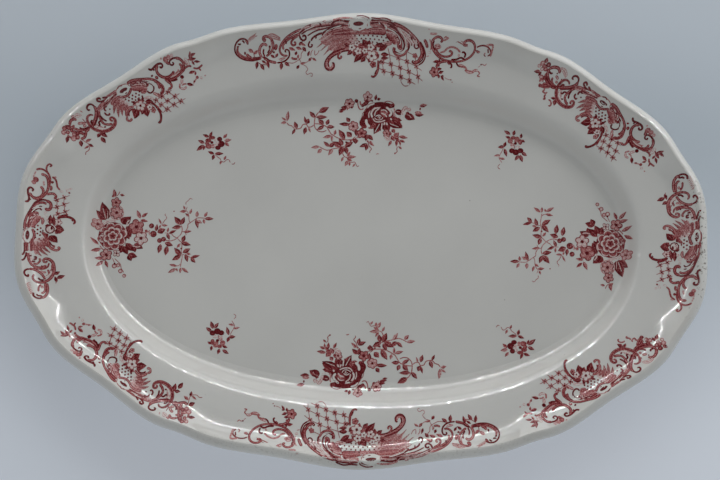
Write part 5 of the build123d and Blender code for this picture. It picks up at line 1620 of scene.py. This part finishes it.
# Prints in the well: node, middle in millimetres, the way it faces, drawing.
WELL_PRINTS = (
    ("spray_top", (0.0, 72.0), 0.0, draw_long_spray),
    ("spray_bottom", (1.5, -73.25), 180.0, draw_long_spray),
    ("spray_left", (-115.0, 4.0), 0.0, draw_round_spray),
    ("spray_right", (115.2, -1.3), 180.0, draw_round_spray),
    ("sprig_upper_left", (-84.24, 51.85), 0.0, draw_pansy_sprig),
    ("sprig_upper_right", (83.42, 57.27), 0.0, draw_rose_sprig),
    ("sprig_lower_right", (87.98, -53.77), 180.0, draw_pansy_sprig),
    ("sprig_lower_left", (-76.3, -55.6), 180.0, draw_rose_sprig),
)
for node, centre, origin, draw in BORDER_PRINTS:
    drawing = Drawing(origin)
    draw(drawing)
    lay_print(node, drawing, partial(guide.place, centre))
for node, centre, facing, draw in WELL_PRINTS:
    drawing = Drawing()
    draw(drawing)
    middle = (centre[0] * MM, centre[1] * MM)
    lay_print(node, drawing, partial(flat_place, middle, facing))


# ---- stage, light and camera ---------------------------------------------------------------------------
WORLD_COLOR = (0.96, 1.0, 1.03)
WORLD_TURN = (0.55, 0.92)          # upward share of a direction, from where the room's light starts to fall
WORLD_STRENGTH = (0.51, 0.14)      # low in the room, and overhead where the camera stands
WORLD_LEAN = (1.04, 1.06)          # factor for light from in front of the platter, and from behind it
FLOOR_REACH = 6.0
FLOOR_COLORS = ((0.58, 0.645, 0.705), (0.615, 0.67, 0.725))
GLOW_COLOR = (0.98, 0.99, 1.08)
PAINTED_FRONT_LIGHT = 0.19                  # painted light: strength of the floor's glow before the platter, as if a low light brightened it
FRONT_REACH = (0.08, -0.12)        # y from where that painted light starts to where it is full
PAINTED_BACK_LIGHT = 0.04                   # painted light: strength of the floor's glow behind the platter
BACK_REACH = (0.05, 0.15)
SIDE_REACH = (-0.3, 0.3)           # x from left to right over which both painted lights change a little
SIDE_LEAN = (0.9, 1.1)             # their factor there
FAR_GLOW = 0.1                     # strength of the floor's even glow all round, away from the platter
FAR_REACH = (0.24, 0.6)            # distance from where the painted light and painted shadow by the platter even out to where the glow is even
SMOOTH = "SMOOTHSTEP"

AIM_POINT = (0.0, 0.0, WELL_LEVEL)
KEY_PLACE = (0.45, 1.2, 0.5)
KEY_SIZE = (2.4, 1.3)
KEY_POWER = 14.0
STRIP_PLACE = (0.0, 0.42, 0.43)
STRIP_SIZE = (4.0, 0.004)
STRIP_POWER = 180.0
STRIP_BEADS = 90
BEAD_SHARE = 0.55                  # of a bead's room that shines
CAMERA_TILT = math.radians(10.14)  # from straight above, towards the front edge
CAMERA_ROLL = math.radians(1.43)
CAMERA_DISTANCE = 1.1
SENSOR_WIDTH = 36.0
FOCAL_LENGTH = 98.56
LENS_SHIFT = (-0.00194, 0.0033)


def painted_floor_light(tree, place):
    """Strength of the floor's own glow: painted light before and behind the platter, and painted shadow
    beside it, where it glows less than far away.
    """
    plan = add_node(tree, "ShaderNodeSeparateXYZ", Vector=place).outputs
    # painted light before and behind the platter; where neither reaches, beside it, the floor glows less than
    # far away: painted shadow
    front = remap(tree, plan["Y"], *FRONT_REACH, 0.0, PAINTED_FRONT_LIGHT, SMOOTH)
    back = remap(tree, plan["Y"], *BACK_REACH, 0.0, PAINTED_BACK_LIGHT, SMOOTH)
    lean = remap(tree, plan["X"], *SIDE_REACH, *SIDE_LEAN)
    near = calculate(tree, "MULTIPLY", calculate(tree, "ADD", front, back), lean)
    distance = add_node(tree, "ShaderNodeVectorMath", {"operation": "LENGTH"}, Vector=place).outputs["Value"]
    far = remap(tree, distance, *FAR_REACH, 0.0, 1.0, SMOOTH)
    return add_node(tree, "ShaderNodeMix", Factor=far, A=near, B=FAR_GLOW).outputs["Result"]


def make_floor():
    """A wide pale floor under the foot, which glows with painted light and painted shadow about the platter.
    """
    low, high = -FLOOR_REACH, FLOOR_REACH
    mesh = bpy.data.meshes.new("floor")
    mesh.from_pydata([(low, low, 0.0), (high, low, 0.0), (high, high, 0.0), (low, high, 0.0)], [],
                     [(0, 1, 2, 3)])
    material, tree, shader = make_material("pale_floor")
    place = add_node(tree, "ShaderNodeTexCoord").outputs["Object"]
    clouds = remap(tree, noise(tree, place, scale=2.5), *NOISE_RANGE)
    tree.links.new(mix_color(tree, clouds, *FLOOR_COLORS), shader.inputs["Base Color"])
    # the floor glows with painted light and painted shadow about the platter
    tree.links.new(painted_floor_light(tree, place), shader.inputs["Emission Strength"])
    shader.inputs["Emission Color"].default_value = (*GLOW_COLOR, 1.0)
    shader.inputs["Roughness"].default_value = 1.0
    shader.inputs["Specular IOR Level"].default_value = 0.0
    mesh.materials.append(material)
    floor = bpy.data.objects.new("floor", mesh)
    bpy.context.scene.collection.objects.link(floor)


def make_panel(name, location, size, power):
    """A rectangular light at a place, aimed at the well."""
    light = bpy.data.lights.new(name, "AREA")
    light.shape = "RECTANGLE"
    light.size, light.size_y = size
    light.energy = power
    panel = bpy.data.objects.new(name, light)
    panel.location = location
    panel.rotation_mode = "QUATERNION"
    panel.rotation_quaternion = (Vector(AIM_POINT) - panel.location).to_track_quat("-Z", "Y")
    bpy.context.scene.collection.objects.link(panel)
    return panel


def add_beads(panel, count):
    """Breaks a long panel into a row of beads, seen mirrored in the glaze but too small to light the room."""
    panel.data.use_nodes = True
    tree = panel.data.node_tree
    across = add_node(tree, "ShaderNodeNewGeometry").outputs["Parametric"]
    along = add_node(tree, "ShaderNodeSeparateXYZ", Vector=across).outputs["X"]
    phase = calculate(tree, "FRACT", calculate(tree, "MULTIPLY", along, float(count)))
    bead = calculate(tree, "LESS_THAN", phase, BEAD_SHARE)
    depth = add_node(tree, "ShaderNodeLightPath").outputs["Ray Depth"]
    mirrored_once = calculate(tree, "LESS_THAN", depth, 1.5)
    seen = calculate(tree, "MULTIPLY", bead, mirrored_once)
    tree.links.new(seen, tree.nodes["Emission"].inputs["Strength"])
    panel.visible_diffuse = False


def make_world():
    """The room's light: even at the sides, darker overhead, a little stronger from behind the platter."""
    world = bpy.data.worlds.new("studio")
    world.use_nodes = True
    tree = world.node_tree
    background = tree.nodes["Background"]
    direction = add_node(tree, "ShaderNodeTexCoord").outputs["Generated"]
    direction = add_node(tree, "ShaderNodeSeparateXYZ", Vector=direction).outputs
    background.inputs["Color"].default_value = (*WORLD_COLOR, 1.0)
    strength = remap(tree, direction["Z"], *WORLD_TURN, *WORLD_STRENGTH)
    lean = remap(tree, direction["Y"], -1.0, 1.0, *WORLD_LEAN)
    tree.links.new(calculate(tree, "MULTIPLY", strength, lean), background.inputs["Strength"])
    bpy.context.scene.world = world


def make_camera():
    """Looks down on the well, tilted a little from the front edge, and rolled a little."""
    back = Vector((0.0, -math.sin(CAMERA_TILT), math.cos(CAMERA_TILT)))
    level = Vector((1.0, 0.0, 0.0))
    right = level * math.cos(CAMERA_ROLL) + back.cross(level) * math.sin(CAMERA_ROLL)
    up = back.cross(right)
    pose = Matrix((right, up, back)).transposed().to_4x4()
    pose.translation = Vector(AIM_POINT) + back * CAMERA_DISTANCE
    lens = bpy.data.cameras.new("camera")
    lens.lens = FOCAL_LENGTH
    lens.sensor_width = SENSOR_WIDTH
    lens.shift_x, lens.shift_y = LENS_SHIFT
    camera = bpy.data.objects.new("camera", lens)
    camera.matrix_world = pose
    bpy.context.scene.collection.objects.link(camera)
    bpy.context.scene.camera = camera


make_floor()
make_world()
make_panel("key", KEY_PLACE, KEY_SIZE, KEY_POWER)
add_beads(make_panel("strip", STRIP_PLACE, STRIP_SIZE, STRIP_POWER), STRIP_BEADS)
make_camera()
bpy.context.scene.view_settings.view_transform = "Standard"
